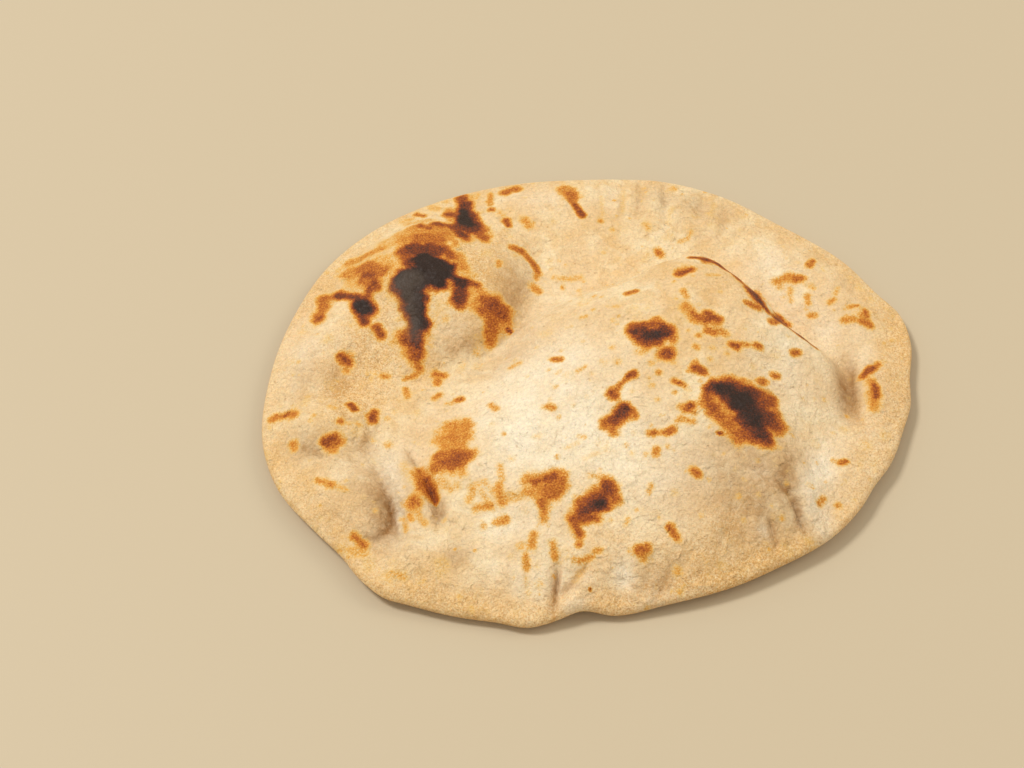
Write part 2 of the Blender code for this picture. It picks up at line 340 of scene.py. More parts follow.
BIG_DOME = Dome(
    reach=(
        (2, 48.0), (14, 42.0), (32, 39.0), (50, 41.0), (65, 44.0), (81, 45.0), (101, 43.0), (133, 45.0),
        (157, 60.0), (172, 74.0), (192, 88.0), (204, 112.0), (214, 144.0), (232, 150.0), (252, 140.0),
        (270, 131.0), (294, 110.0), (308, 84.0), (330, 75.0), (343, 73.0), (353, 59.0),
    ),
    fullness=(
        (0, 3.3), (12, 4.6), (33, 5.4), (65, 5.2), (81, 5.0), (101, 4.2), (133, 3.0), (157, 2.4),
        (180, 2.2), (204, 1.8), (232, 1.7), (270, 1.7), (294, 1.8), (308, 1.9), (330, 2.2), (343, 2.3),
        (350, 2.6),
    ),
)

BLISTERS = (
    # the low swell of the dome's near right shoulder
    Blister(52, -56, 40, 26, -50, top=21.5, foot=7),
    # the pillow at the far left and the lumps on it
    Blister(-68, 48, 47, 46, 18, top=21, foot=8, fullness=2.2, steep_side=-25, steeper=0.4),
    Blister(-80, 46, 24, 22, 40, top=23.5, foot=13),
    Blister(-49, 28, 22, 16, 20, top=18, foot=9),
    Blister(-39, 52, 18, 16, 0, top=16.5, foot=9, steep_side=0, steeper=0.3),
    Blister(-98, 24, 26, 22, 60, top=16.5, foot=8),
    # the smaller ones along the left side
    Blister(-117, 6, 17, 22, 0, top=14, foot=7, steep_side=0, steeper=1.0),
    Blister(-108, -28, 24, 17, 4, top=15.5, foot=7, fullness=2.4),
    Blister(-101, -64, 33, 25, -58, top=17, foot=7, apex_x=0.1, apex_y=0.2, steep_side=-10, steeper=1.6),
    Blister(-68, -92, 32, 20, -22, top=13.5, foot=7),
    # near the right edge, and the low swell between dome and far rim
    Blister(120, -8, 18, 21, 8, top=13.5, foot=7, apex_x=-0.1, steep_side=180, steeper=0.6),
    Blister(103, -42, 28, 40, -24, top=12, foot=7),
    Blister(16, 88, 76, 28, -2, top=12.5, foot=7, fullness=2.2),
    Blister(94, 52, 42, 26, -40, top=12, foot=7, fullness=2.2),
)

CREASES = (
    # gathered into the notch at the near edge
    Crease(-15.6, -96, -17.6, -115, depth=3.4, width=3.0, form=1.3, lean=0.4),
    Crease(-27, -99, -28, -112, depth=1.1, width=2.4, lean=0.6),
    Crease(-22, -94, -22, -103, depth=0.6, width=1.8),
    Crease(-14.5, -105, -5.5, -96, depth=2.0, width=1.4, form=1.3, lean=2.4),
    Crease(-13, -110, -2, -102, depth=-0.8, width=3.4),
    Crease(10, -100, 22, -98, depth=0.9, width=5.0),
    # at the right foot of the dome
    Crease(74, -52, 71, -61, depth=0.9, width=2.6, lean=0.6),
    Crease(71, -61, 76, -69, depth=1.7, width=3.0, form=1.3, lean=0.4),
    Crease(76, -69, 77.5, -73, depth=2.8, width=3.4, form=1.3, lean=0.35),
    Crease(77.5, -73, 76.5, -80, depth=2.2, width=3.4, form=1.3, lean=0.35),
    Crease(81, -66, 82, -78, depth=-1.2, width=3.4),
    Crease(65.5, -76, 68, -85, depth=1.5, width=2.6, form=1.3, lean=0.45),
    Crease(61, -80, 62, -84, depth=-0.8, width=3.0),
    # the pit between the dome and the right edge
    Crease(105, -2, 104, -18, depth=3.0, width=5.0),
    # valley between pillow and dome
    Crease(-22, 60, -30, 28, depth=2.0, width=6.0),
    Crease(-34, 16, -72, -4, depth=2.0, width=6.0),
    # the small fold in front of the left blisters: its ridge, and the furrow on its right
    Crease(-76, -44, -70, -62, depth=-2.2, width=3.8),
    Crease(-72, -42, -66, -56, depth=2.0, width=3.4, form=1.3, lean=0.4),
    Crease(-66, -56, -61.5, -69, depth=2.8, width=3.4, form=1.3, lean=0.4),
    # round the right foot of the blister at the near left
    Crease(-86, -52, -80.5, -68, depth=2.2, width=5.0, form=1.3, lean=0.3),
    Crease(-80.5, -68, -79, -76, depth=3.4, width=5.5, form=1.3, lean=0.25),
    Crease(-79, -76, -85, -83, depth=2.6, width=1.6, form=1.3, lean=0.8),
    Crease(-85, -83, -95, -80, depth=1.2, width=2.2, form=1.4),
    Crease(-73, -72, -74.5, -82, depth=1.2, width=2.6, form=1.3, lean=0.4),
)

# Shallow flutes that run in from the rim: (angle, depth, width).
FLUTES = (
    (62, 0.8, 4.0), (69, 1.2, 4.5), (76, 1.4, 4.5), (83, 1.1, 4.0), (93, 0.7, 4.0), (103, 0.6, 5.0),
    (275, 1.0, 4.0), (284, 0.9, 6.0), (292, 1.1, 4.0), (303, 0.8, 5.0), (309, 0.7, 3.5),
    (236, 0.8, 5.0), (247, 0.6, 4.0), (2, 0.9, 3.0), (150, 0.6, 5.0), (172, 0.6, 5.0), (186, 0.5, 5.0),
)


@dataclass(frozen=True)
class Dough:
    """The bread's form: an oval outline, a top of heaped blisters, and an underside that lifts."""

    length: float = 271.0  # along X
    width: float = 234.0  # along Y
    rim_thick: float = 4.4  # the two sheets pressed together at the edge
    rim_round: float = 2.6  # how far in the rounding of the edge reaches
    rim_lift: float = 4.4  # height of the middle of the edge above the table
    level: float = 9.5  # height of the top where no blister rises
    level_reach: float = 20.0  # distance from the edge at which the top has come up to that level
    base_share: float = 0.66  # the flat patch underneath, as a share of the outline
    base_hollow: float = 1.3  # above 1, the underside stays low for longer before it lifts
    meld: float = 1.8  # how softly neighbouring blisters run into each other
    stray: float = 3.0  # how far a blister's outline wanders
    stray_size: float = 34.0
    stray_seeds: tuple[int, int] = (11, 12)
    most_sunk: float = 1.2  # how far a crease may sink under the height of the rim
    rim_blend: float = 22.0  # distance from the edge over which the top swells up from the rim
    lumps: Layers = ((0.8, 24.0, 13), (0.3, 9.0, 14))
    flute_start: float = 8.0  # distance from the edge at which a flute is at its deepest
    flute_reach: float = 34.0  # and how much further in it fades out

    def outline(self, angle: Array) -> Array:
        """Distance of the edge from the middle, by angle."""
        turn = np.radians(angle)
        ellipse = 1 / np.hypot(2 * np.cos(turn) / self.length, 2 * np.sin(turn) / self.width)
        return ellipse + between(SWELLS, angle)

    def inset(self, x: Array, y: Array) -> Array:
        """Distance in from the edge, along the line to the middle."""
        edge = self.outline(np.degrees(np.arctan2(y, x)))
        return np.maximum(edge - np.hypot(x, y), 0)

    def rounding(self, inset: Array) -> Array:
        """Runs from 0 at the very edge to 1 where its rounding ends."""
        return np.sqrt(1 - (1 - np.clip(inset / self.rim_round, 0, 1)) ** 2)

    def flute_depth(self, inset: Array, angle: Array, edge: Array) -> Array:
        """How far the flutes sink the surface, fading away from the rim.

        Args:
            inset: distances in from the edge.
            angle: direction of each place from the middle.
            edge: distance of the edge from the middle in that direction.

        Returns:
            The depth at each place.
        """
        depth = np.zeros_like(angle)
        for at, deep, width in FLUTES:
            off = np.radians((angle - at + 180) % 360 - 180) * edge
            depth += deep * np.exp(-((off / width) ** 2))
        fade = ease(1 - (inset - self.flute_start) / self.flute_reach)
        return depth * ease(inset / self.flute_start) * fade

    def top_height(self, x: Array, y: Array) -> Array:
        """Height of the top above the table.

        Args:
            x: places along the bread.
            y: places across it.

        Returns:
            The height at each place.
        """
        angle = np.degrees(np.arctan2(y, x))
        edge = self.outline(angle)
        inset = self.inset(x, y)
        rim = self.rim_lift + between(LIFTS, angle) + self.rim_thick / 2 * self.rounding(inset)
        ground = rim + (self.level - rim) * ease(inset / self.level_reach)
        wander_x = x + self.stray * noise(x, y, self.stray_size, self.stray_seeds[0])
        wander_y = y + self.stray * noise(x, y, self.stray_size, self.stray_seeds[1])
        heaped = np.exp(ground / self.meld)
        for blister in (BIG_DOME, *BLISTERS):
            heaped += np.exp(np.maximum(blister.height(wander_x, wander_y), 0) / self.meld)
        above = self.meld * np.log(heaped) - rim
        above -= furrowed(CREASES, x, y)
        above -= self.flute_depth(inset, angle, edge)
        above += layered(self.lumps, x, y)
        # never sinks far under the line of the rim, and meets it at the edge
        above = self.most_sunk * np.logaddexp(0, above / self.most_sunk + 1) - self.most_sunk
        return rim + above * np.sin(math.pi / 2 * np.clip(inset / self.rim_blend, 0, 1))

    def under_height(self, x: Array, y: Array) -> Array:
        """Height of the underside, which is 0 over the flat patch.

        Args:
            x: places along the bread.
            y: places across it.

        Returns:
            The height at each place.
        """
        angle = np.degrees(np.arctan2(y, x))
        share = np.hypot(x, y) / self.outline(angle)
        inset = np.maximum(1 - share, 0) * self.outline(angle)
        edge = self.rim_lift + between(LIFTS, angle)
        rise = ease((share - self.base_share) / (1 - self.base_share)) ** self.base_hollow
        return np.maximum((edge - self.rim_thick / 2 * self.rounding(inset)) * rise, 0)


# What is too fine for the solid: the sharp bottoms of the folds, and wrinkles of the skin.
WRINKLES = (
    # the bottoms of the sharp folds
    Crease(-15.8, -99, -17.6, -114, depth=1.7, width=1.5, form=1.3, lean=0.6),
    Crease(-14, -105, -6, -97, depth=1.1, width=0.9, form=1.3, lean=1.8),
    Crease(-12, -109.5, -4, -103, depth=-0.7, width=2.2),
    Crease(-21, -98, -22, -112, depth=-0.6, width=1.8),
    Crease(73, -63, 76, -68, depth=1.2, width=1.3, form=1.3, lean=0.6),
    Crease(76, -68, 77.5, -72.5, depth=2.0, width=1.5, form=1.3, lean=0.6),
    Crease(77.5, -72.5, 79.3, -78, depth=1.7, width=1.5, form=1.3, lean=0.6),
    Crease(79.3, -78, 81.5, -83.5, depth=1.1, width=1.4, form=1.3, lean=0.6),
    Crease(84, -68, 86, -79, depth=-1.2, width=3.0),
    Crease(66, -77, 68, -85, depth=1.2, width=1.2, form=1.3, lean=0.6),
    Crease(61.5, -79, 63, -84, depth=-0.7, width=2.6),
    Crease(-86.2, -52, -83.2, -60, depth=0.9, width=1.6, form=1.3, lean=0.4),
    Crease(-83.2, -60, -80.4, -67, depth=1.5, width=2.4, form=1.3, lean=0.35),
    Crease(-80.4, -67, -79, -73, depth=2.2, width=2.8, form=1.3, lean=0.3),
    Crease(-79, -73, -81, -78.5, depth=1.8, width=2.0, form=1.3, lean=0.6),
    Crease(-81, -78.5, -88, -82.3, depth=1.0, width=1.4, form=1.3),
    Crease(-73, -43, -66.5, -57, depth=1.2, width=1.6, form=1.3, lean=0.4),
    Crease(-66.5, -57, -62.5, -67, depth=1.7, width=1.8, form=1.3, lean=0.4),
    # on the dome's sunken near right flank
    Crease(57, -50, 55, -66, depth=0.5, width=1.8),
    Crease(47, -69, 42, -73, depth=0.5, width=1.2, form=1.4),
    Crease(52, -66, 50, -80, depth=0.5, width=1.6, form=1.4),
    Crease(58, -73, 56, -84, depth=0.5, width=1.6),
    Crease(64, -70, 62, -77, depth=0.6, width=1.8),
    Crease(45, -66, 60, -76, depth=0.4, width=2.2),
    Crease(50, -80, 44, -92, depth=0.5, width=1.8),
    Crease(38, -84, 31, -97, depth=0.6, width=2.0),
    Crease(27, -96, 22, -106, depth=0.9, width=1.8, form=1.4),
    Crease(20, -94, 16, -104, depth=0.5, width=1.8),
    Crease(10, -94, 8, -106, depth=0.4, width=1.8),
    Crease(58, -84, 62, -91, depth=0.5, width=1.6),
    Crease(77.5, -52, 75, -60, depth=0.5, width=1.0, form=1.4),
    Crease(72.5, -60, 72.6, -64, depth=0.6, width=0.8, form=1.4),
    Crease(84, -50, 80, -60, depth=0.35, width=1.8),
    Crease(80.5, -79, 82.5, -84, depth=0.7, width=1.2, form=1.4),
    Crease(70, -78, 73, -88, depth=0.4, width=1.6),
    # at the foot of the small blister beside the right edge
    Crease(108.2, 0, 106.6, -9, depth=1.6, width=4.0, form=1.3, lean=0.3),
    Crease(106.6, -9, 106.8, -18, depth=1.8, width=4.6, form=1.3, lean=0.3),
    Crease(112, 3, 118, 4.5, depth=0.7, width=1.2, form=1.4),
    # on the margin to the right of it
    Crease(87, -44, 96, -58, depth=0.3, width=2.2),
    Crease(98, -44, 106, -46, depth=0.4, width=1.4),
    Crease(92, -60, 101, -68, depth=0.35, width=1.8),
    # round the small blister at the left
    Crease(-112, -18, -104, -20.5, depth=0.6, width=1.0, form=1.3),
    Crease(-104, -20.5, -98, -28, depth=0.6, width=1.0, form=1.3),
    Crease(-91, -30, -89.5, -36, depth=0.9, width=1.8, form=1.3, lean=0.4),
    Crease(-89.5, -36, -92, -42, depth=0.6, width=1.8, form=1.3, lean=0.4),
    # on the far margin
    Crease(5, 108, 6, 87, depth=0.9, width=2.0),
    Crease(16.5, 107, 15.5, 88, depth=0.8, width=1.8),
    Crease(25, 109, 23, 89, depth=0.9, width=2.0),
    Crease(36, 107, 34, 82, depth=1.1, width=2.2),
    Crease(53, 101, 49, 85, depth=0.9, width=2.2),
    Crease(62, 94, 59.5, 78, depth=0.9, width=2.2),
    Crease(72, 86, 67, 76, depth=0.6, width=2.0),
    Crease(-16, 98, -14, 84, depth=0.4, width=2.0),
    # along the left side
    Crease(-46, 8, -30, 6, depth=0.4, width=2.4),
    Crease(-104, -1, -107, -9, depth=1.3, width=3.2),
    Crease(-118, -14, -106, -14, depth=0.8, width=1.3, form=1.4),
    Crease(-106, -14, -96, -20, depth=0.8, width=1.3, form=1.4),
    Crease(-63, -68, -61, -79, depth=0.9, width=2.4),
    Crease(-68, -70, -67, -77, depth=0.4, width=1.2, form=1.4),
    Crease(-56, -88, -52, -96, depth=0.7, width=2.4),
    Crease(-92, -84, -82, -88, depth=0.5, width=1.4, form=1.4),
    Crease(-84, -88, -88, -95, depth=0.5, width=1.8),
    Crease(-112, -52, -96, -62, depth=0.3, width=1.6),
    Crease(-104, -70, -96, -76, depth=0.4, width=1.4, form=1.4),
    # on the pillow's right flank
    Crease(-31, 22, -39, 16, depth=0.8, width=1.4, form=1.4),
    Crease(-30, 58, -33, 44, depth=0.5, width=1.6),
    Crease(-44, 66, -34, 58, depth=0.4, width=1.6),
    Crease(-70, 43, -77, 29, depth=1.0, width=1.4, form=1.4),
    Crease(-27, 47, -34, 36, depth=0.4, width=1.4),
    # round the notch
    Crease(-33, -99, -34, -112, depth=0.4, width=1.8),
    Crease(-19.5, -100, -21.5, -113, depth=-0.5, width=1.3),
    Crease(-12, -100, -14, -108, depth=0.5, width=1.4),
    Crease(-3, -100, 1, -108, depth=0.3, width=1.8),
)


@dataclass(frozen=True)
class CrustRelief:
    """What the crust adds to the form: wrinkles, small steam bubbles and the grain of the flour."""

    bubbles: int = 320
    bubble_sizes: tuple[float, float] = (1.4, 4.2)  # radius
    bubble_rise: float = 0.12  # height for each millimetre of radius
    bubble_foot: float = 1.6  # where a bubble has run out, in its radii
    scatter: tuple[float, float] = (130.0, 115.0)  # the bubbles lie up to this far along and across
    seed: int = 41
    grain: Layers = ((0.55, 12.0, 33), (0.38, 5.6, 31), (0.16, 2.6, 32))
    rim_grain: Layers = ((0.2, 2.9, 41),)  # grain of the margin, which was pressed by the fingertips
    rim_reach: float = 26.0
    edge_fade: float = 3.0  # distance from the edge over which all of it fades out

    def height(self, x: Array, y: Array, inset: Array) -> Array:
        """What the crust adds to the height of the top.

        Args:
            x: places along the bread.
            y: places across it.
            inset: distances in from the edge.

        Returns:
            The added height at each place, 0 at the very edge.
        """
        total = -furrowed(WRINKLES, x, y)
        draw = np.random.default_rng(self.seed)
        for _ in range(self.bubbles):
            radius = draw.uniform(*self.bubble_sizes)
            middle_x = draw.uniform(-self.scatter[0], self.scatter[0])
            middle_y = draw.uniform(-self.scatter[1], self.scatter[1])
            foot = self.bubble_foot * radius
            near = (abs(x - middle_x) < foot) & (abs(y - middle_y) < foot)
            off = np.hypot(x[near] - middle_x, y[near] - middle_y)
            total[near] += self.bubble_rise * radius * ease(1 - off / foot)
        total += layered(self.grain, x, y)
        total += layered(self.rim_grain, x, y) * ease(1 - inset / self.rim_reach)
        return total * ease(inset / self.edge_fade)


# --- the toasting -----------------------------------------------------------------------------------


class Done(Enum):
    """How far a place is baked, from a tinge to black."""

    TINGED = 0.14
    GOLDEN = 0.23
    AMBER = 0.34
    RUSSET = 0.46
    BROWN = 0.6
    DARK = 0.73
    CHARRED = 0.84
    BLACK = 0.99


@dataclass(frozen=True)
class Mark:
    """A toasted place: a round spot, or a stroke from one spot to another of its own size."""

    done: Done
    x: float
    y: float
    r: float
    to_x: float | None = None
    to_y: float | None = None
    to_r: float | None = None

    def inside(self, x: Array, y: Array) -> Array:
        """How far inside the mark's outline each place lies, below 0 outside.

        Args:
            x: places along the bread.
            y: places across it.

        Returns:
            The distance from the outline at each place.
        """
        if self.to_x is None or self.to_y is None or self.to_r is None:
            return self.r - np.hypot(x - self.x, y - self.y)
        run_x = self.to_x - self.x
        run_y = self.to_y - self.y
        t = ((x - self.x) * run_x + (y - self.y) * run_y) / (run_x**2 + run_y**2)
        t = np.clip(t, 0, 1)
        off = np.hypot(x - self.x - t * run_x, y - self.y - t * run_y)
        return self.r + t * (self.to_r - self.r) - off

    def size(self) -> float:
        """The mark's larger radius."""
        return max(self.r, self.to_r or 0)


T, G, A, R = Done.TINGED, Done.GOLDEN, Done.AMBER, Done.RUSSET
B, D, C, K = Done.BROWN, Done.DARK, Done.CHARRED, Done.BLACK

PILLOW_MARKS = (
    # the great char: its cap, the lobe to the left, the stem that runs down and its brown tail
    Mark(K, -71, 50, 5.5, -64, 47, 6), Mark(K, -78, 39, 5.5, -69, 43, 6.5),
    Mark(K, -76, 37, 4.6, -72.5, 21, 3.4), Mark(K, -68, 41, 4.5, -64, 39, 3.5),
    Mark(D, -75, 58, 5, -66, 59, 5), Mark(D, -73, 17, 3.6, -73, 13, 2.8),
    Mark(B, -77, 14, 2.8, -73, 9, 3.4), Mark(R, -76, 9, 2.6, -72, 3, 1.6), Mark(A, -80, 16, 2.4, -77, 9, 2),
    Mark(B, -79, 57, 3.5, -77, 50, 3), Mark(B, -62, 61, 2.5, -60, 55, 2.5), Mark(G, -86, 66, 6, -64, 70, 7),
    Mark(A, -80, 66, 4, -62, 69, 4.4), Mark(G, -84, 48, 4, -83, 34, 3), Mark(G, -58, 48, 6, -52, 36, 5),
    Mark(T, -64, 30, 2, -66, 20, 2), Mark(G, -98, 46, 7, -92, 52, 6),
    # its branch to the right
    Mark(C, -61, 44, 2, -54, 40, 2.6), Mark(D, -55, 40, 3, -55, 31, 3), Mark(B, -57, 31, 2.4),
    Mark(B, -54, 42, 1.6, -48, 40, 1.5), Mark(A, -57, 56, 2.5, -54, 49, 2.4),
    # the mottled brown above it
    Mark(A, -74, 72, 6, -65, 74, 5), Mark(R, -73, 66, 4.5, -65, 67, 4), Mark(B, -73, 77, 2, -70, 75, 2),
    Mark(B, -67, 79, 2, -64, 78, 2), Mark(A, -81, 61, 3, -80, 53, 2), Mark(G, -79, 82, 3, -70, 84, 3),
    Mark(A, -58, 62, 1.6, -58, 66, 1.4), Mark(G, -82, 72, 3, -80, 66, 3),
    # the char near the far edge, on two legs
    Mark(K, -55, 92, 2.4, -54, 83, 3.2), Mark(D, -54, 97, 3, -53, 80, 5.5),
    Mark(B, -56, 103, 2.6, -54, 97, 3), Mark(B, -62, 90, 2, -57, 88, 3),
    Mark(B, -59, 77, 2.8, -53, 69, 2.3), Mark(B, -50, 81, 4, -45, 72, 2),
    Mark(B, -65, 80, 1.6, -58, 77, 2.4), Mark(A, -62, 95, 2, -60, 84, 2.5),
    Mark(D, -56, 74, 2, -53, 71, 1.6),
    # the orange patch to the left of the great char
    Mark(A, -105, 60, 2.4, -89, 62, 1.8), Mark(A, -105, 54, 3, -99, 50, 4.5),
    Mark(R, -97, 52, 4.5, -90, 46, 4.5), Mark(R, -96, 45, 4, -92, 40, 3.6),
    Mark(B, -92, 41, 1.8, -90, 37, 1.6), Mark(G, -88, 54, 2.5, -86, 47, 2.5), Mark(G, -108, 58, 2),
    Mark(B, -97, 48, 1.6, -93, 45, 1.6),
    # the black spot below it, with its links
    Mark(K, -97, 31, 3, -95, 28, 3), Mark(D, -98, 33, 3, -94, 27, 3.4), Mark(D, -96, 25, 2.4, -95, 22, 1.8),
    Mark(D, -99, 35, 2, -108, 41, 1.8), Mark(R, -108, 41, 2, -114, 41, 2.2),
    Mark(R, -114, 39, 3, -115, 29, 3.2), Mark(B, -94, 35, 2, -93, 39, 1.6), Mark(B, -115, 29, 1.6),
    # the patch on the pillow's right flank
    Mark(B, -42, 31, 3.6, -38, 28, 3.6), Mark(R, -45, 26, 2.8, -40, 24, 3.4),
    Mark(R, -42, 21, 3, -43, 16, 2), Mark(R, -45, 33, 2.6, -40, 33, 3), Mark(A, -49, 39, 2, -45, 35, 2.6),
    Mark(C, -35, 22, 0.5, -34, 21, 0.4), Mark(A, -47, 29, 4, -38, 24, 4.6),
    Mark(R, -47, 27, 1.8, -36, 30, 3),
    # along the crease on its right edge
    Mark(R, -33, 67, 1.6, -29, 66, 1.6), Mark(R, -29, 66, 1.4, -24, 61, 1.4),
    Mark(R, -24, 61, 1.4, -22, 56, 1.4), Mark(A, -22, 56, 1.2, -23, 52, 1),
    Mark(A, -24, 47, 2, -22, 45, 1.8), Mark(A, -39, 54, 1.1, -39, 52, 1), Mark(T, -45, 60, 3),
    Mark(T, -32, 62, 2.4),
    # small ones towards the far edge
    Mark(R, -76, 92, 1.4, -73, 90, 1.2), Mark(G, -82, 87, 2, -78, 88, 1.6), Mark(G, -70, 97, 2, -67, 95, 2),
    Mark(G, -63, 101, 2.2), Mark(R, -37, 105, 2, -32, 108, 2), Mark(A, -32, 108, 1.6, -30, 108, 1.4),
    Mark(G, -51, 103, 2.6), Mark(A, -43, 104, 1.2, -43, 97, 1.1), Mark(R, -43, 93, 1, -42, 93, 1),
    Mark(G, -39, 91, 1.3), Mark(B, -36, 85, 1.5, -35, 82, 1.3), Mark(A, -28, 85, 1.8, -26, 82, 1.8),
    Mark(T, -15, 84, 2), Mark(T, -36, 78, 1.4), Mark(T, -34, 75, 1.2), Mark(T, -77, 100, 2),
    # small ones towards the middle
    Mark(B, -90, 19, 1.8, -88, 16, 1.7), Mark(G, -61, 23, 1.6), Mark(T, -100, 20, 1.6),
    Mark(T, -122, 23, 2), Mark(T, -110, 14, 2.6), Mark(G, -68, 16, 1.6), Mark(G, -83, 13, 2),
    Mark(G, -49, 45, 1.2),
)

LEFT_MARKS = (
    Mark(B, -104, 6, 1.8, -101, 4, 1.8), Mark(R, -102, 5, 2.6), Mark(A, -102, 1, 1.6),
    Mark(R, -65, 1, 1.6, -62, 0, 1.8), Mark(R, -64, -3, 1.5, -64, -5, 1), Mark(A, -63, -11, 1, -65, -13, 1),
    Mark(A, -87, -2, 1, -85, -2, 1.2), Mark(G, -90, -1, 0.8), Mark(A, -77, -8, 1, -76, -12, 1.1),
    Mark(A, -72, 1, 0.8, -74, -1, 0.9), Mark(A, -74, -1, 0.9, -78, -3, 0.7),
    Mark(R, -56, -14, 0.9, -54, -13, 1), Mark(G, -60, -16, 0.8, -57, -15, 0.9), Mark(G, -48, 11, 1.3),
    Mark(T, -48, 4, 2.6), Mark(T, -54, 5, 2.2), Mark(T, -93, -1, 1.4), Mark(T, -72, -20, 1.6),
    Mark(T, -81, -20, 1.3), Mark(B, -99, -19, 1.3, -97, -22, 1.2), Mark(B, -89, -21, 1.1, -90, -25, 1.7),
    Mark(A, -91, -24, 1.5), Mark(R, -102, -29, 1.2), Mark(G, -95, -29, 1), Mark(T, -96, -33, 2),
    Mark(G, -83, -37, 1.6), Mark(G, -89, -35, 1), Mark(B, -107, -38, 2, -104, -36, 2),
    Mark(R, -107, -38, 2.6, -103, -37, 3), Mark(A, -105, -41, 2.4), Mark(A, -121, -37, 1.4, -120, -39, 1.2),
    Mark(R, -129, -21, 1.6, -122, -23, 2.2), Mark(A, -131, -22, 1.4), Mark(B, -125, -22, 1.4),
    Mark(T, -117, -14, 1.2, -117, -19, 1.3), Mark(G, -107, -21, 0.8, -105, -22, 0.8),
    Mark(A, -110, -56, 0.9, -103, -60, 1.2), Mark(G, -103, -60, 1, -98, -63, 0.9), Mark(A, -104, -60, 1.1),
    Mark(R, -94, -81, 1, -90, -84, 1.5), Mark(G, -100, -85, 1.4, -90, -87, 2), Mark(T, -88, -92, 2.6),
    Mark(G, -80, -97, 1.2, -74, -98, 1), Mark(T, -60, -95, 3.6), Mark(T, -125, 5, 1.6),
    Mark(T, -80, -98, 3),
    # the broad stain and its frayed lower edge
    Mark(A, -57, -30, 4, -54, -36, 4.4), Mark(A, -60, -36, 4.2, -56, -43, 5),
    Mark(R, -61, -47, 4, -54, -49, 5), Mark(R, -54, -49, 4.6, -50, -48, 2.6),
    Mark(R, -63, -51, 3, -57, -52, 3.6), Mark(A, -52, -29, 2, -52, -38, 2.4),
    Mark(G, -63, -31, 2, -57, -27, 2), Mark(G, -62, -57, 2, -59, -61, 2),
    Mark(A, -53, -54, 2.4, -52, -57, 1.4), Mark(G, -55, -62, 1.8), Mark(R, -60, -50, 1.6, -52, -48, 2),
    Mark(A, -52, -27, 1.6, -50, -32, 1.6),
    # the fold beside it
    Mark(R, -70, -50, 1.4, -67, -60, 3.4), Mark(B, -67, -55, 1.4, -64.5, -63, 2),
    Mark(B, -65.5, -58, 0.7, -63, -65, 0.9), Mark(A, -72, -53, 1.4, -69, -60, 1.6), Mark(A, -72, -67, 3.2),
    Mark(R, -72, -66, 2.2, -70, -67, 1.4), Mark(G, -75, -73, 0.8, -74, -79, 0.9),
    Mark(G, -70, -71, 1, -67, -76, 1), Mark(T, -76, -48, 2, -73, -56, 2),
    Mark(A, -73, -71, 0.8, -72, -74, 0.7), Mark(A, -42, -21, 1, -40, -25, 1.2), Mark(T, -41, -34, 1.2),
    # the patchwork between the stain and the next one
    Mark(G, -49, -63, 1.2, -44, -61, 1.3), Mark(G, -44, -61, 1.4, -40, -66, 1.8),
    Mark(A, -39, -63, 1.5, -37, -70, 1.8), Mark(G, -50, -68, 1.3, -48, -64, 1),
    Mark(A, -47, -72, 1.2, -42, -71, 1.6), Mark(G, -38, -55, 1.2, -37, -61, 1),
    Mark(A, -40, -78, 1, -36, -77, 1.5), Mark(G, -36, -68, 1.6, -31, -69, 1.4), Mark(T, -33, -52, 1.4),
    Mark(G, -45, -65, 1, -41, -72, 1.2), Mark(G, -57, -63, 1.6), Mark(G, -44, -79, 1),
    Mark(G, -30, -88, 1.3), Mark(A, -26, -88, 1.2, -25, -84, 1.3), Mark(A, -28, -96, 1.1, -28, -92, 0.9),
    Mark(T, -34, -92, 1.2), Mark(A, -18, -87, 0.9, -17, -92, 1.3), Mark(T, -24, -96, 1.4),
    Mark(T, -28, -100, 1, -27, -105, 1), Mark(T, -9, -100, 1.2, -6, -96, 1), Mark(D, -4, -104.5, 0.2),
)

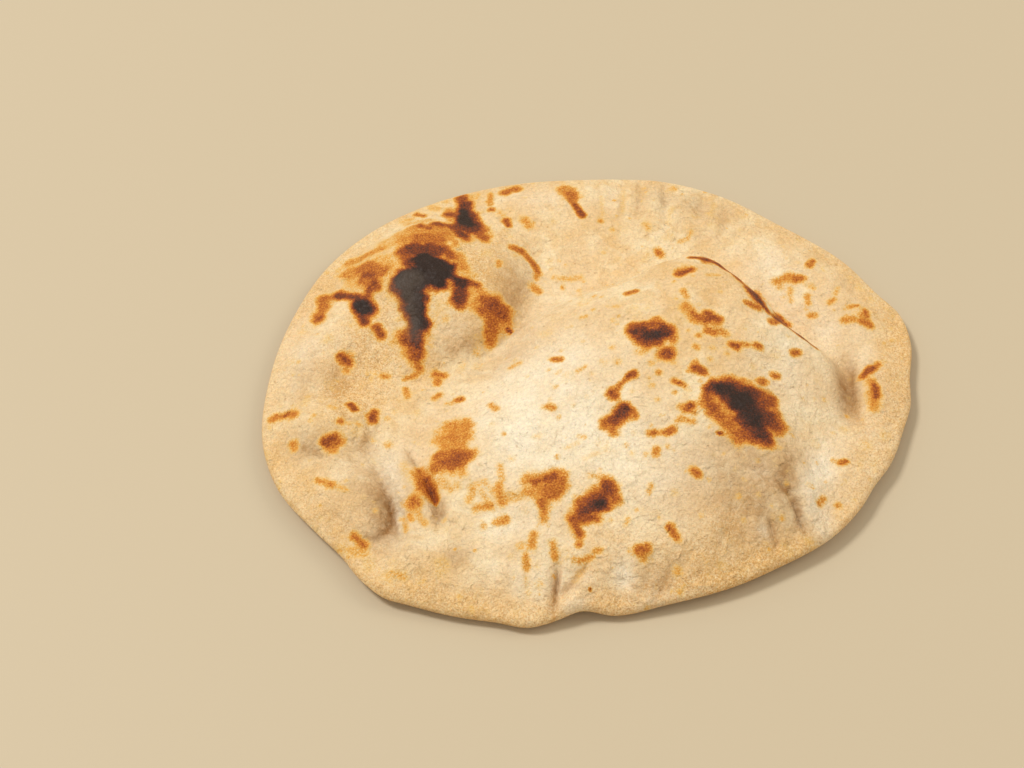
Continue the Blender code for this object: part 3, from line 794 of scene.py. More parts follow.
DOME_MARKS = (
    # the two large stains on the near slope
    Mark(A, -27, -62, 2.6, -14, -61, 2.6), Mark(A, -27, -67, 2.6, -20, -66, 3.6),
    Mark(R, -19, -66, 4, -15, -65, 3.6), Mark(B, -25, -63, 1.1, -17, -61, 1.4),
    Mark(A, -21, -71, 2.6, -21, -77, 1.6), Mark(R, -22, -71, 1.6, -21, -75, 1.2),
    Mark(D, -6, -75, 2.4, 1, -72, 3), Mark(B, -5, -74, 4, 4, -68, 3.6), Mark(B, 3, -66, 2.4, 6, -71, 1.6),
    Mark(C, -1, -73, 1.6, 1, -72, 2), Mark(G, -3, -61, 1.2, 4, -63, 1.6),
    Mark(B, -10, -79, 2.2, -8, -84, 1.8), Mark(B, -6, -78, 2.6, -2, -78, 2), Mark(R, -8, -88, 1.1),
    Mark(A, -8, -94, 0.8, -3, -93, 0.9), Mark(A, -2, -91, 0.8, 0, -91, 0.8), Mark(A, -1, -79, 2),
    Mark(G, -10, -94, 1),
    # small ones on the near slope
    Mark(R, -16, -5, 1, -14, -6, 1), Mark(G, -18, -4, 0.7), Mark(A, -19, -30, 1, -17, -31, 1),
    Mark(G, -21, -30, 0.8), Mark(G, -34, -2, 1, -30, -1, 1), Mark(G, -7, -15, 0.9, -4, -13, 0.5),
    Mark(T, -23, -43, 1), Mark(G, -5, 15, 0.7, -3, 15, 0.6), Mark(G, 0, 18, 0.7),
    Mark(G, 8, 18, 0.6, 10, 18, 0.7), Mark(G, 9, -12, 1.4), Mark(G, 7, -4, 1), Mark(T, 3, -50, 1.3),
    Mark(G, 11, -49, 0.9), Mark(T, 13, -52, 1), Mark(T, -5, -54, 1, 0, -52, 0.8),
    Mark(T, -12, -49, 1, -8, -47, 0.8), Mark(T, -9, -31, 0.8), Mark(R, 37, -60, 1.4, 38, -61, 1.3),
    Mark(A, 36, -59, 1.2), Mark(G, 20, -66, 1, 19, -69, 1), Mark(T, 29, -69, 1.2),
    Mark(A, 27, -82, 1.4, 29, -86, 1.2), Mark(R, 26, -82, 0.9, 29, -86, 0.8),
    Mark(R, 14, -91, 1.5, 18, -90, 1.5), Mark(A, 16, -93, 1.2), Mark(G, 11, -91, 0.9),
    Mark(G, 10, -81, 0.7, 11, -79, 0.6), Mark(G, 29, -97, 1.6), Mark(T, 46, -94, 2), Mark(G, 30, -104, 1.2),
    # the very dark one near the top, and its neighbours
    Mark(C, 21, 1, 2.6, 27, 1, 2.6), Mark(D, 18, 3, 2.6, 28, 2, 3.4), Mark(B, 20, -1, 3.4, 24, -2, 2.8),
    Mark(B, 17, 5, 3.4, 24, 6, 2.4), Mark(B, 17, 1, 2.6, 21, -4, 2.2), Mark(B, 27, 4, 2.6, 31, -1, 1.6),
    Mark(A, 15, 5, 2, 15, 2, 1.4), Mark(G, 17, -7, 1.3, 19, -8, 1.1), Mark(B, 28, -8, 2.2, 30, -8, 2.2),
    Mark(R, 27, -9, 2.4, 30, -9, 2), Mark(A, 26, -7, 1.4), Mark(G, 31, -12, 1.1), Mark(A, 42, 0, 1.1),
    Mark(G, 38, 3, 0.9), Mark(A, 40, -5, 0.8, 41, -6, 0.9), Mark(G, 47, -6, 1.2),
    Mark(B, 55, -3, 1.4, 57, -4, 1.5), Mark(A, 58, -3, 0.9, 62, -3, 0.7), Mark(R, 65, -3, 1.1, 67, -3, 1),
    Mark(G, 53, -8, 0.9), Mark(G, 46, -11, 1.1), Mark(T, 63, -12, 1.2), Mark(B, 40, -15, 1.7, 43, -17, 1.4),
    Mark(A, 37, -16, 0.8, 40, -12, 0.8), Mark(G, 22, -13, 1.1), Mark(A, 25, -17, 1.1),
    Mark(G, 21, -20, 0.8), Mark(G, 22, -23, 1.1), Mark(G, 24, -30, 0.8), Mark(T, 14, -26, 1),
    Mark(B, 13, -19, 1, 15, -18, 1.3), Mark(R, 12, -20, 0.8, 9, -23, 0.9),
    Mark(B, 6, -26, 1.8, 7, -27, 1.8), Mark(R, 6, -25, 1.6, 9, -24, 1), Mark(R, 31, -21, 1, 35, -23, 0.8),
    Mark(B, 33, -22, 0.9), Mark(A, 31, -26, 0.7), Mark(G, 35, -24, 0.7, 37, -25, 0.5),
    # the brown one below those
    Mark(D, 10, -35, 2.6, 11, -34, 2.2), Mark(B, 5, -38, 2.4, 11, -35, 3.2),
    Mark(R, 5, -40, 3, 6, -43, 1.6), Mark(R, 3, -38, 1.8), Mark(R, 15, -37, 0.9, 14, -34, 1),
    Mark(B, 8, -38, 2.6), Mark(B, 35, -34, 1.4, 37, -32, 1.5), Mark(A, 33, -33, 1.2, 38, -35, 1.2),
    Mark(A, 33, -38, 1.5, 37, -39, 1.3), Mark(G, 31, -39, 1), Mark(R, 22, -44, 1.3),
    Mark(R, 27, -44, 1.2, 29, -43, 1.2), Mark(A, 20, -44, 1, 28, -44, 1),
    Mark(A, 22, -53, 1.1, 23, -51, 1.3), Mark(G, 27, -50, 1),
    # the largest one on the dome
    Mark(C, 49, -24, 2.8, 57, -28, 4.6), Mark(C, 57, -30, 4.8, 61, -36, 4.8),
    Mark(D, 59, -37, 5, 64, -42, 4), Mark(D, 52, -26, 5, 66, -36, 5), Mark(D, 64, -43, 3, 67, -46, 2),
    Mark(D, 47, -24, 3, 60, -26, 5), Mark(B, 64, -30, 4, 69, -38, 4), Mark(B, 52, -22, 3.4, 68, -27, 4),
    Mark(R, 70, -28, 2.6, 73, -37, 2.4), Mark(B, 44, -28, 2, 46, -33, 2), Mark(R, 44, -30, 3, 49, -37, 3),
    Mark(R, 49, -38, 3, 55, -45, 3), Mark(B, 58, -44, 3, 66, -47, 2), Mark(A, 47, -30, 3, 53, -38, 3.4),
    Mark(R, 66, -18, 1.5, 68, -17, 1), Mark(R, 72, -14, 1.3, 73, -14, 1.2),
    Mark(C, 47, -44, 0.3, 48, -44.5, 0.3),
    # the loose patch above it
    Mark(A, 37, 15, 1.8, 41, 10, 2.8), Mark(R, 40, 12, 2, 41, 10, 1.8), Mark(A, 42, 9, 2.6, 48, 8, 3.4),
    Mark(R, 43, 9, 1.8, 47, 8, 2.2), Mark(B, 46, 12, 1.4, 50, 8, 2), Mark(R, 46, 3, 1.6, 48, 2, 1.6),
    Mark(A, 50, 3, 1.4, 53, 2, 1.6), Mark(A, 45, 6, 1.6), Mark(B, 46, 8, 1.4),
    Mark(A, 37, 23, 0.9, 38, 20, 1), Mark(G, 36, 14, 1.4), Mark(B, 36, 34, 1.5, 41, 36, 1.6),
    Mark(R, 37, 35, 2.4, 40, 36, 2), Mark(R, 14, 26, 0.8, 18, 27, 1), Mark(G, 48, 33, 0.7, 53, 34, 0.6),
    Mark(T, 22, 15, 1), Mark(T, 60, 31, 1), Mark(A, 82, -2, 1.4), Mark(R, 81, -2, 1.1, 83, -1, 1),
)

CREST_MARKS = (
    Mark(R, 44, 57, 1.8, 51, 51, 2.6), Mark(R, 51, 51, 2.6, 48, 43, 1.8), Mark(B, 65, 29, 2.2, 68, 22, 2.6),
    Mark(B, 68, 37, 2, 72, 32, 2.6), Mark(D, 71, 42, 2, 74, 36, 2), Mark(B, 77, 28, 1.8, 78, 17, 1.6),
    Mark(R, 73, 11, 1.6, 76, 14, 1.4), Mark(R, 63, 18, 1.1, 68, 17, 1.4), Mark(B, 79, 30, 1.6, 83, 26, 1.2),
    Mark(A, 86, 12, 1.2, 88, 14, 1),
    # the thin dark line along the crest
    Mark(B, 42, 45.6, 0.9, 48.5, 45, 1.2), Mark(B, 48.5, 45, 1.2, 54.5, 43.3, 1.1),
    Mark(B, 54.5, 43.3, 1.1, 58.6, 39.6, 1), Mark(B, 58.6, 39.6, 1, 62, 33.6, 0.9),
    Mark(R, 62, 33.6, 0.9, 65.5, 28, 1), Mark(D, 66, 28, 1.2, 69, 21, 1.5),
    Mark(D, 69, 20.5, 1.1, 72, 17, 0.6), Mark(D, 75.5, 16.4, 1.2, 79, 14.4, 1.5),
    Mark(B, 79, 14.4, 1, 84, 12, 0.6), Mark(D, 84, 12, 0.8, 88.5, 8.4, 1.3),
    Mark(B, 88.5, 8.4, 1.2, 91.5, 5.5, 0.6),
)

RIGHT_MARKS = (
    Mark(R, 96, 58, 1.3, 98, 61, 0.9), Mark(A, 81, 49, 1.8, 86, 51, 2.2), Mark(R, 89, 50, 1.8, 92, 50, 1.8),
    Mark(G, 82, 46, 1.6), Mark(R, 91, 51, 1.2), Mark(G, 86, 45, 0.9, 86, 38, 0.8),
    Mark(A, 93, 40, 1, 93, 36, 1.2), Mark(A, 93, 30, 1, 95, 30, 1), Mark(G, 95, 46, 1.6),
    Mark(A, 102, 36, 1.1, 104, 38, 0.9), Mark(A, 110, 34, 0.8, 114, 35, 0.6),
    Mark(A, 107, 27, 1.2, 111, 28, 1.4), Mark(R, 115, 27, 1.6, 118, 26, 1.8),
    Mark(R, 117, 32, 1.6, 117, 29, 1.6), Mark(A, 115, 30, 2), Mark(G, 107, 45, 0.8, 105, 41, 0.8),
    Mark(T, 121, 41, 2), Mark(T, 117, 48, 2.4),
    # on the small blister beside the edge
    Mark(B, 111, -4, 1.1, 116, 1, 1.6), Mark(R, 116, 1, 1.6, 119, 4, 1),
    Mark(B, 115, -9, 1.6, 115, -14, 1.8), Mark(A, 114, -8, 2.6, 114, -18, 2.4), Mark(G, 113, -20, 1.6),
    # on the right margin
    Mark(R, 97, -47, 0.9, 99, -46, 0.8), Mark(G, 96, -47, 1.2), Mark(A, 86, -67, 1, 88, -64, 1),
    Mark(A, 94, -66, 1.1), Mark(T, 80, -81, 1, 83, -84, 1.2), Mark(G, 94, -46, 0.8), Mark(T, 100, -30, 2),
    Mark(T, 108, -38, 2.4),
    # on the far margin
    Mark(A, -8, 105, 4.2, -6.5, 99, 3.4), Mark(R, -7.5, 103, 3, -6, 97, 2.4),
    Mark(B, -5, 94, 1.1, -2, 87, 0.9), Mark(R, -5, 94, 1.4, -2, 88, 1), Mark(A, 31, 67, 1.6, 32, 65, 1.7),
    Mark(R, 31, 66, 1.1), Mark(T, 26, 64, 2, 24, 62, 1.4), Mark(G, 40, 72, 0.8, 44, 74, 0.8),
    Mark(G, 44, 74, 0.8, 46, 78, 0.6), Mark(A, 6, 84, 1.1), Mark(G, 11, 79, 1),
    Mark(G, 26, 82, 1.4, 27, 79, 1), Mark(G, -8, 52, 1.6, -4, 53, 1.2), Mark(G, -13, 52, 1.3, -10, 52, 1.2),
    Mark(G, -15, 53, 1), Mark(T, -17, 63, 1.4), Mark(G, 40, 108, 1.6), Mark(T, 7, 88, 0.8, 7, 100, 0.8),
    Mark(T, 16, 90, 0.8, 17, 106, 0.8), Mark(T, 38, 92, 1, 36, 84, 0.8), Mark(T, 58, 98, 1.2, 55, 88, 1),
    Mark(T, 70, 90, 1.6), Mark(T, -4, 46, 1, -4, 30, 0.8),
)

# Where the great char's skin is loose and ashy, grey with ash and with a painted sheen in place of the
# lamp's reflection.
ASH_AND_SHEEN = (
    Mark(K, -80, 38, 3.2, -76, 40, 4), Mark(K, -77, 36, 3, -76, 27, 2.2), Mark(K, -75, 24, 2, -74, 16, 1.8),
)


@dataclass(frozen=True)
class Tint:
    """A broad soft patch, as strong at its middle as given."""

    x: float
    y: float
    long: float
    wide: float
    turn: float
    strength: float

    def at(self, x: Array, y: Array) -> Array:
        """How strong the patch is at each place.

        Args:
            x: places along the bread.
            y: places across it.

        Returns:
            Its strength at each place.
        """
        turn = math.radians(self.turn)
        dx = x - self.x
        dy = y - self.y
        u = (dx * math.cos(turn) + dy * math.sin(turn)) / self.long
        v = (dy * math.cos(turn) - dx * math.sin(turn)) / self.wide
        return self.strength * np.exp(-(u * u + v * v))


GOLDEN = (
    Tint(-62, 62, 32, 22, 20, 0.55),
    Tint(-82, 34, 18, 16, 0, 0.4),
    Tint(-50, 40, 14, 20, 0, 0.5),
    Tint(-90, 4, 26, 16, 0, 0.6),
    Tint(-102, -16, 18, 14, 0, 0.4),
    Tint(-98, -46, 20, 14, 0, 0.2),
    Tint(96, 6, 14, 20, 0, 0.15),
    Tint(-96, 16, 14, 12, 0, 0.35),
    Tint(2, -80, 16, 10, 0, 0.3),
    Tint(46, -78, 22, 16, 0, 0.3),
    Tint(-94, -20, 18, 18, 0, 0.25),
    Tint(100, 40, 20, 14, -30, 0.15),
    Tint(0, -94, 24, 10, 10, 0.45),
    Tint(42, -92, 26, 10, 10, 0.5),
    Tint(60, 30, 16, 12, -30, 0.3),
)

# Flour, and painted light: on slopes beside the folds that face the light, and on the right margin that
# faces away from it.
FLOUR_AND_PAINTED_LIGHT = (
    Tint(16, -88, 46, 20, 8, 0.3),
    Tint(22, -106, 14, 5, 10, 0.5),
    Tint(-24, -100, 20, 10, 0, 0.5),
    Tint(9, -99, 4, 6, 0, 0.9),
    Tint(-11, -110, 6, 3, 20, 0.6),
    Tint(-80, -58, 4, 12, 12, 0.9),
    Tint(-77, -70, 2, 8, 0, 0.8),
    Tint(63, -81, 3.5, 4, 0, 0.8),
    Tint(62, -58, 6, 5, 0, 0.5),
    Tint(86, -54, 6, 12, -20, 0.7),
    Tint(-24, -40, 40, 30, 10, 0.8),
    Tint(-20, -8, 30, 22, 20, 0.5),
    Tint(20, -55, 30, 20, 0, 0.5),
    Tint(-88, -45, 16, 10, 30, 0.5),
    Tint(-100, 10, 26, 20, 30, 0.3),
    Tint(88, 40, 22, 16, -30, 0.4),
    Tint(86, -74, 6, 10, 10, 0.8),
    Tint(100, -48, 18, 28, -30, 0.45),
    Tint(120, -14, 10, 24, 0, 0.2),
    Tint(112, 14, 10, 14, 0, 0.3),
    Tint(80, -6, 20, 24, 0, 0.5),
    Tint(-84, -80, 18, 12, -40, 0.35),
    Tint(-122, 12, 10, 22, 0, 0.4),
    Tint(-20, 100, 14, 8, 0, 0.5),
    Tint(12, 100, 4, 8, 0, 0.4),
    Tint(-14, 44, 16, 20, 0, 0.3),
    Tint(98, 20, 8, 8, 0, 0.45),
    Tint(78, 60, 12, 10, 0, 0.4),
    Tint(-60, 20, 8, 6, 0, 0.4),
    Tint(-32, -80, 14, 8, 0, 0.5),
)

# Greyish thin skin, and painted shade: in valleys, in the pit, along the far flutes and on flanks turned
# from the light.
GREY_AND_PAINTED_SHADE = (
    Tint(46, 97, 24, 9, -18, 0.35),
    Tint(35, 95, 1.8, 14, -4, 0.35),
    Tint(51, 93, 2.2, 12, -13, 0.3),
    Tint(61, 86, 2.2, 12, -8, 0.3),
    Tint(24, 99, 1.6, 12, -6, 0.4),
    Tint(6, 97, 1.5, 12, 2, 0.3),
    Tint(16, 98, 1.5, 12, -3, 0.3),
    Tint(56, -70, 24, 20, -20, 0.72),
    Tint(73, -59, 3.5, 8, -15, 0.9),
    Tint(20, -101, 7, 5, 20, 0.3),
    Tint(-83, -74, 4, 9, 10, 0.6),
    Tint(-62, -72, 3, 5, 0, 0.8),
    Tint(-54, -91, 6, 5, 0, 0.6),
    Tint(62, -50, 20, 12, 0, 0.45),
    Tint(-84, -66, 12, 18, 15, 0.8),
    Tint(-104, -4, 5, 9, -15, 0.9),
    Tint(-113, -36, 12, 8, 0, 0.5),
    Tint(-38, 44, 14, 20, 0, 0.5),
    Tint(-52, 18, 24, 8, 20, 0.3),
    Tint(-100, -42, 12, 7, 0, 0.5),
    Tint(104, -8, 5, 12, 0, 0.9),
    Tint(28, -98, 22, 8, 15, 0.2),
    Tint(-118, -4, 8, 16, 0, 0.4),
    Tint(-40, 4, 16, 8, 10, 0.4),
)

# Brown stain and painted shade: along creases, in the pit and on flanks turned away from the light.
BROWN_AND_PAINTED_SHADE = (
    Tint(77.2, -73, 1.4, 5, 0, 0.9),
    Tint(73.5, -65.5, 4.3, 1.2, -54, 0.6),
    Tint(73, -58, 2.5, 7, -15, 0.5),
    Tint(67.5, -81, 1, 4, 15, 0.6),
    Tint(60, -74, 6, 4, 0, 0.4),
    Tint(50, -82, 4, 4, 0, 0.4),
    Tint(46, -71, 3, 1.4, -20, 0.4),
    Tint(24, -101, 7, 4.5, 20, 0.35),
    Tint(40, -97, 10, 4, 15, 0.25),
    Tint(27, -98, 3, 2, 20, 0.3),
    Tint(6, -107, 8, 2, 0, 0.2),
    Tint(-17.4, -106, 1.4, 9, -5, 0.9),
    Tint(-11, -103, 4.5, 1.5, 15, 0.6),
    Tint(-8, -98, 3.5, 1.2, 42, 0.5),
    Tint(-54, -91, 5, 4, 0, 0.4),
    Tint(-62, -72, 2.6, 4.5, 0, 0.5),
    Tint(-71.5, -47, 4.5, 1.2, -62, 0.5),
    Tint(-83.5, -73, 2.6, 8, 8, 0.25),
    Tint(-87, -82, 5, 1.6, -15, 0.7),
    Tint(-74, -78, 0.8, 3, 5, 0.5),
    Tint(-93, -35, 1.8, 4, -20, 0.5),
    Tint(-104, -9, 3, 6, -15, 0.7),
    Tint(-115, -40, 8, 3, -20, 0.3),
    Tint(103.6, -9, 3.4, 9, 0, 0.65),
    Tint(-36, 40, 5, 14, 0, 0.3),
    Tint(-56, 12, 14, 3, 20, 0.3),
    Tint(-42, 20, 14, 3.5, 40, 0.5),
    Tint(-31, 40, 3.5, 12, -25, 0.4),
    Tint(-90, -32, 1.6, 6, -20, 0.4),
    Tint(-112, -42, 5, 2.4, -20, 0.4),
)

# How far in from the edge the golden rim reaches, and how golden it is: (angle, value).
RIM_REACH = (
    (0, 22), (30, 16), (60, 12), (90, 9), (120, 12), (150, 14), (180, 18), (215, 18), (240, 16), (270, 13),
    (300, 14), (315, 12), (325, 14), (345, 26),
)
RIM_GOLD = (
    (0, 0.7), (30, 0.4), (60, 0.15), (90, 0.05), (120, 0.2), (150, 0.45), (180, 0.35), (215, 0.45),
    (240, 0.6), (270, 0.75), (300, 0.9), (325, 0.6), (345, 0.7),
)


@dataclass(frozen=True)
class Freckles:
    """Small spots scattered over the whole crust."""

    count: int
    small: float  # radius of the smallest
    large: float  # and of the largest
    faint: float  # how far the faintest is baked
    deep: float  # and the deepest


@dataclass(frozen=True)
class Toasting:
    """How far the crust is baked at each place, and where shade and light are painted on it, as fields that
    the material reads.
    """

    marks: tuple[Mark, ...] = PILLOW_MARKS + LEFT_MARKS + DOME_MARKS + CREST_MARKS + RIGHT_MARKS
    spread: float = 0.6  # how far a mark has spread beyond its stated radius
    most_spread: float = 0.5  # but no further than this share of the radius
    halo: float = 3.0  # how far a mark's edge fades out around it
    small_halo: tuple[float, float] = (0.8, 0.5)  # but no further than this, and this share of the radius
    core: float = 1.8  # how far in from its outline a mark has reached its full depth
    most_core: float = 0.9  # but no further than this share of the radius
    fray: float = 0.42  # how far its outline frays, as a share of its radius
    most_fray: float = 1.6
    frayed: Layers = ((1.0, 6.5, 51), (0.55, 2.8, 52))
    onset: float = 1.15  # above 1, a mark's edge starts faintly
    sharpness: float = 6.0  # marks that meet join without adding up
    freckles: tuple[Freckles, ...] = (
        Freckles(1000, small=0.3, large=1.1, faint=0.05, deep=0.22),
        Freckles(190, small=1.2, large=3.0, faint=0.02, deep=0.12),
    )
    freckle_foot: float = 2.0  # where a freckle has faded out, in its radii
    freckle_slope: float = 0.8  # how fast it fades
    scatter: tuple[float, float] = (134.0, 116.0)  # the freckles lie up to this far along and across
    freckle_seed: int = 61
    broken: Layers = ((0.5, 2.2, 61),)  # how the freckles are broken up
    fold_shading: float = 0.5  # how brown, with painted shade, a fold is for each millimetre of its depth
    rim_full: float = 1.25  # above 1, the rim is fully golden for some way in
    rim_wander: Layers = ((0.45, 17.0, 53), (0.25, 7.0, 54))
    tint_wander: Layers = ((0.35, 12.0, 55), (0.2, 5.0, 56))
    flour_and_light_hides: float = 0.6  # how much of the golden tone the flour and painted light hide

    def field(self, marks: tuple[Mark, ...], x: Array, y: Array) -> Array:
        """How far the places are baked by these marks.

        Args:
            marks: the toasted places.
            x: places along the bread.
            y: places across it.

        Returns:
            0 where nothing is toasted, up to 1 where it is black.
        """
        frayed = layered(self.frayed, x, y)
        least, share = self.small_halo
        total = np.zeros_like(x)
        for mark in marks:
            size = mark.size()
            spread = min(self.spread, self.most_spread * size)
            inside = mark.inside(x, y) + spread + min(self.fray * size, self.most_fray) * frayed
            halo = min(self.halo, least + share * size)
            core = min(self.core, self.most_core * size)
            depth = np.clip((inside + halo) / (halo + core), 0, 1) ** self.onset
            total += (mark.done.value * depth) ** self.sharpness
        return total ** (1 / self.sharpness)

    def freckled(self, x: Array, y: Array) -> Array:
        """How far scattered freckles are toasted, as far out as the edge.

        Args:
            x: places along the bread.
            y: places across it.

        Returns:
            0 between the freckles, up to their depth within them.
        """
        draw = np.random.default_rng(self.freckle_seed)
        total = np.zeros_like(x)
        for kind in self.freckles:
            for _ in range(kind.count):
                radius = draw.uniform(kind.small, kind.large)
                depth = draw.uniform(kind.faint, kind.deep)
                middle_x = draw.uniform(-self.scatter[0], self.scatter[0])
                middle_y = draw.uniform(-self.scatter[1], self.scatter[1])
                foot = self.freckle_foot * radius
                near = (abs(x - middle_x) < foot) & (abs(y - middle_y) < foot)
                off = np.hypot(x[near] - middle_x, y[near] - middle_y) / radius
                baked = depth * ease(self.freckle_slope * (self.freckle_foot - off))
                total[near] = np.maximum(total[near], baked)
        return total * (1 + layered(self.broken, x, y))

    def browned_and_shaded(self, x: Array, y: Array) -> Array:
        """How far brown stain and painted shade darken the dough: in patches, and in the depth of every
        sharp fold.

        Args:
            x: places along the bread.
            y: places across it.

        Returns:
            The field at each place, from 0 to 1.
        """
        folds = tuple(crease for crease in WRINKLES if crease.form < ROUNDED)
        depth = np.maximum(furrowed(folds, x, y), 0)
        return np.maximum(self.tinted(BROWN_AND_PAINTED_SHADE, x, y), np.clip(self.fold_shading * depth, 0, 1))

    def rim_gold(self, x: Array, y: Array, inset: Array) -> Array:
        """How golden and grainy the margin is.

        Args:
            x: places along the bread.
            y: places across it.
            inset: distances in from the edge.

        Returns:
            The field at each place, from 0 to 1.
        """
        angle = np.degrees(np.arctan2(y, x))
        reach = between(RIM_REACH, angle) * (1 + layered(self.rim_wander, x, y))
        rim = between(RIM_GOLD, angle) * ease(self.rim_full - inset / reach)
        bare = 1 - self.flour_and_light_hides * self.tinted(FLOUR_AND_PAINTED_LIGHT, x, y)
        return np.maximum(rim, self.tinted(GOLDEN, x, y)) * bare

    def tinted(self, tints: tuple[Tint, ...], x: Array, y: Array) -> Array:
        """The sum of broad patches, made uneven.

        Args:
            tints: the patches.
            x: places along the bread.
            y: places across it.

        Returns:
            The field at each place, from 0 to 1.
        """
        total = sum(tint.at(x, y) for tint in tints)
        return np.clip(total * (1 + layered(self.tint_wander, x, y)), 0, 1)


# --- the finish -------------------------------------------------------------------------------------


@dataclass(frozen=True)
class BakedCrust:
    """Whole-wheat dough baked on a clay oven's wall: dry, matt and floury, toasted where it touched."""

    cream: str = "#EFCD9B"
    pale: str = "#F9E3BA"
    tinge: str = "#E6BB78"
    # flour, and painted light
    flour_and_light: str = "#FFF3DA"
    # greyish skin, and painted shade
    grey_and_shade: str = "#C09A6C"
    # brown stain, and painted shade
    brown_and_shade: str = "#9A682F"
    gold: str = "#EFC079"
    deep_gold: str = "#BE8336"
    grain: str = "#FFF0C8"
    bran: str = "#A87842"
    # ash grey, and a painted sheen
    ash_and_sheen: str = "#564A42"
    toast: tuple[tuple[float, str], ...] = (
        (0.0, "#F4D594"), (0.14, "#F0C673"), (0.27, "#E6A848"), (0.39, "#D2832C"), (0.52, "#B15E1B"),
        (0.66, "#893F18"), (0.8, "#582B19"), (0.95, "#2C1A12"),
    )
    patch_size: float = 22.0  # broad cream and pale patches
    tinge_size: float = 9.0
    most_tinge: float = 0.5
    flour_and_light_cover: float = 0.9  # how much of the dough the flour and painted light hide
    ash_and_sheen_cover: float = 0.75
    mottle_size: float = 3.2  # mottling within a toasted spot
    mottle_depth: float = 1.1
    mottled: float = 0.13  # how far the mottling changes the toasting
    fleck_size: float = 0.7
    flecked: float = 0.4  # how far the flecks change the toasting
    uneven_room: float = 1.25  # above 1, the blackest char is still uneven
    grain_size: float = 1.2  # grains of the coarse flour, drawn a little coarser than they are
    grain_depth: float = 0.55
    crinkle_size: float = 4.5
    crinkle_depth: float = 1.1
    crinkle_patch: float = 26.0  # patches of skin that have crinkled
    bran_apart: float = 2.86  # distance between the places where a speck of bran may lie
    bran_share: float = 0.2  # share of those places that have one
    bran_cover: float = 0.35
    under_size: float = 11.0  # toasted patches of the underside
    specular: float = 0.35
    glow: float = 0.06  # share of the light that goes through the outer dough
    glow_reach: tuple[float, float, float] = (0.004, 0.002, 0.001)  # red, green and blue, in metres
    glow_scale: float = 0.5

    def material(self) -> bpy.types.Material:
        """Builds the crust's material, which reads the fields that Roti paints on its mesh."""
        material = bpy.data.materials.new("baked_whole_wheat_crust")
        material.use_nodes = True
        tree = material.node_tree
        place = add(tree, "ShaderNodeTexCoord", {}, {}).outputs["Object"]
        field = {
            name: add(tree, "ShaderNodeAttribute", {"attribute_name": name}, {}).outputs["Fac"]
            for name in ("toast", "gold", "flour_and_light", "grey_and_shade", "brown_and_shade", "ash_and_sheen", "under")
        }
        mottle, grain, flecks, pressed = (
            add(
                tree, "ShaderNodeTexNoise", {},
                {
                    "Vector": place, "Scale": per_metre(size), "Detail": detail, "Roughness": 0.6,
                    "Distortion": warp,
                },
            ).outputs["Fac"]
            for size, detail, warp in (
                (self.mottle_size, 4.0, 0.5),
                (self.grain_size, 3.0, 0.7),
                (self.fleck_size, 2.0, 0.0),
                (self.under_size, 4.0, 0.0),
            )
        )
        plain = self.untoasted(tree, place, field, mottle, grain, flecks)
        # the underside was pressed against the oven's wall and is toasted in small patches
        pressed = add(
            tree, "ShaderNodeMapRange", {"interpolation_type": "SMOOTHSTEP"},
            {"Value": pressed, "From Min": 0.5, "From Max": 0.72, "To Min": 0.0, "To Max": 0.55},
        ).outputs["Result"]
        pressed = add(
            tree, "ShaderNodeMath", {"operation": "MULTIPLY"}, {0: pressed, 1: field["under"]}
        ).outputs[0]
        painted = add(
            tree, "ShaderNodeMath", {"operation": "MAXIMUM"}, {0: field["toast"], 1: pressed}
        ).outputs[0]
        toast = self.uneven_toast(tree, painted, mottle, flecks)
        colour = self.toasted(tree, plain, toast, field["ash_and_sheen"])
        shader = tree.nodes["Principled BSDF"]
        tree.links.new(colour, shader.inputs["Base Color"])
        tree.links.new(self.roughness(tree, toast, grain), shader.inputs["Roughness"])
        tree.links.new(self.normal(tree, place, mottle, grain), shader.inputs["Normal"])
        shader.inputs["Specular IOR Level"].default_value = self.specular
        shader.inputs["Subsurface Weight"].default_value = self.glow
        shader.inputs["Subsurface Radius"].default_value = self.glow_reach
        shader.inputs["Subsurface Scale"].default_value = self.glow_scale
        return material

    def untoasted(
        self,
        tree: bpy.types.NodeTree,
        place: bpy.types.NodeSocket,
        field: dict[str, bpy.types.NodeSocket],
        mottle: bpy.types.NodeSocket,
        grain: bpy.types.NodeSocket,
        flecks: bpy.types.NodeSocket,
    ) -> bpy.types.NodeSocket:
        """The colour of crust that has only dried: cream, floury, greyish or golden, with painted shade and
        painted light laid over it.

        Args:
            tree: the material's node tree.
            place: place on the bread.
            field: the painted fields by name.
            mottle: noise of the mottling.
            grain: noise of the flour's grain.
            flecks: noise of its finest grains.

        Returns:
            The colour.
        """
        patches = add(
            tree, "ShaderNodeTexNoise", {},
            {"Vector": place, "Scale": per_metre(self.patch_size), "Detail": 5.0, "Roughness": 0.55},
        ).outputs["Fac"]
        patches = add(
            tree, "ShaderNodeMapRange", {"interpolation_type": "SMOOTHSTEP"},
            {"Value": patches, "From Min": 0.36, "From Max": 0.64},
        ).outputs["Result"]
        colour = add(
            tree, "ShaderNodeMix", {"data_type": "RGBA"},
            {0: patches, 6: linear(self.cream), 7: linear(self.pale)},
        ).outputs[2]
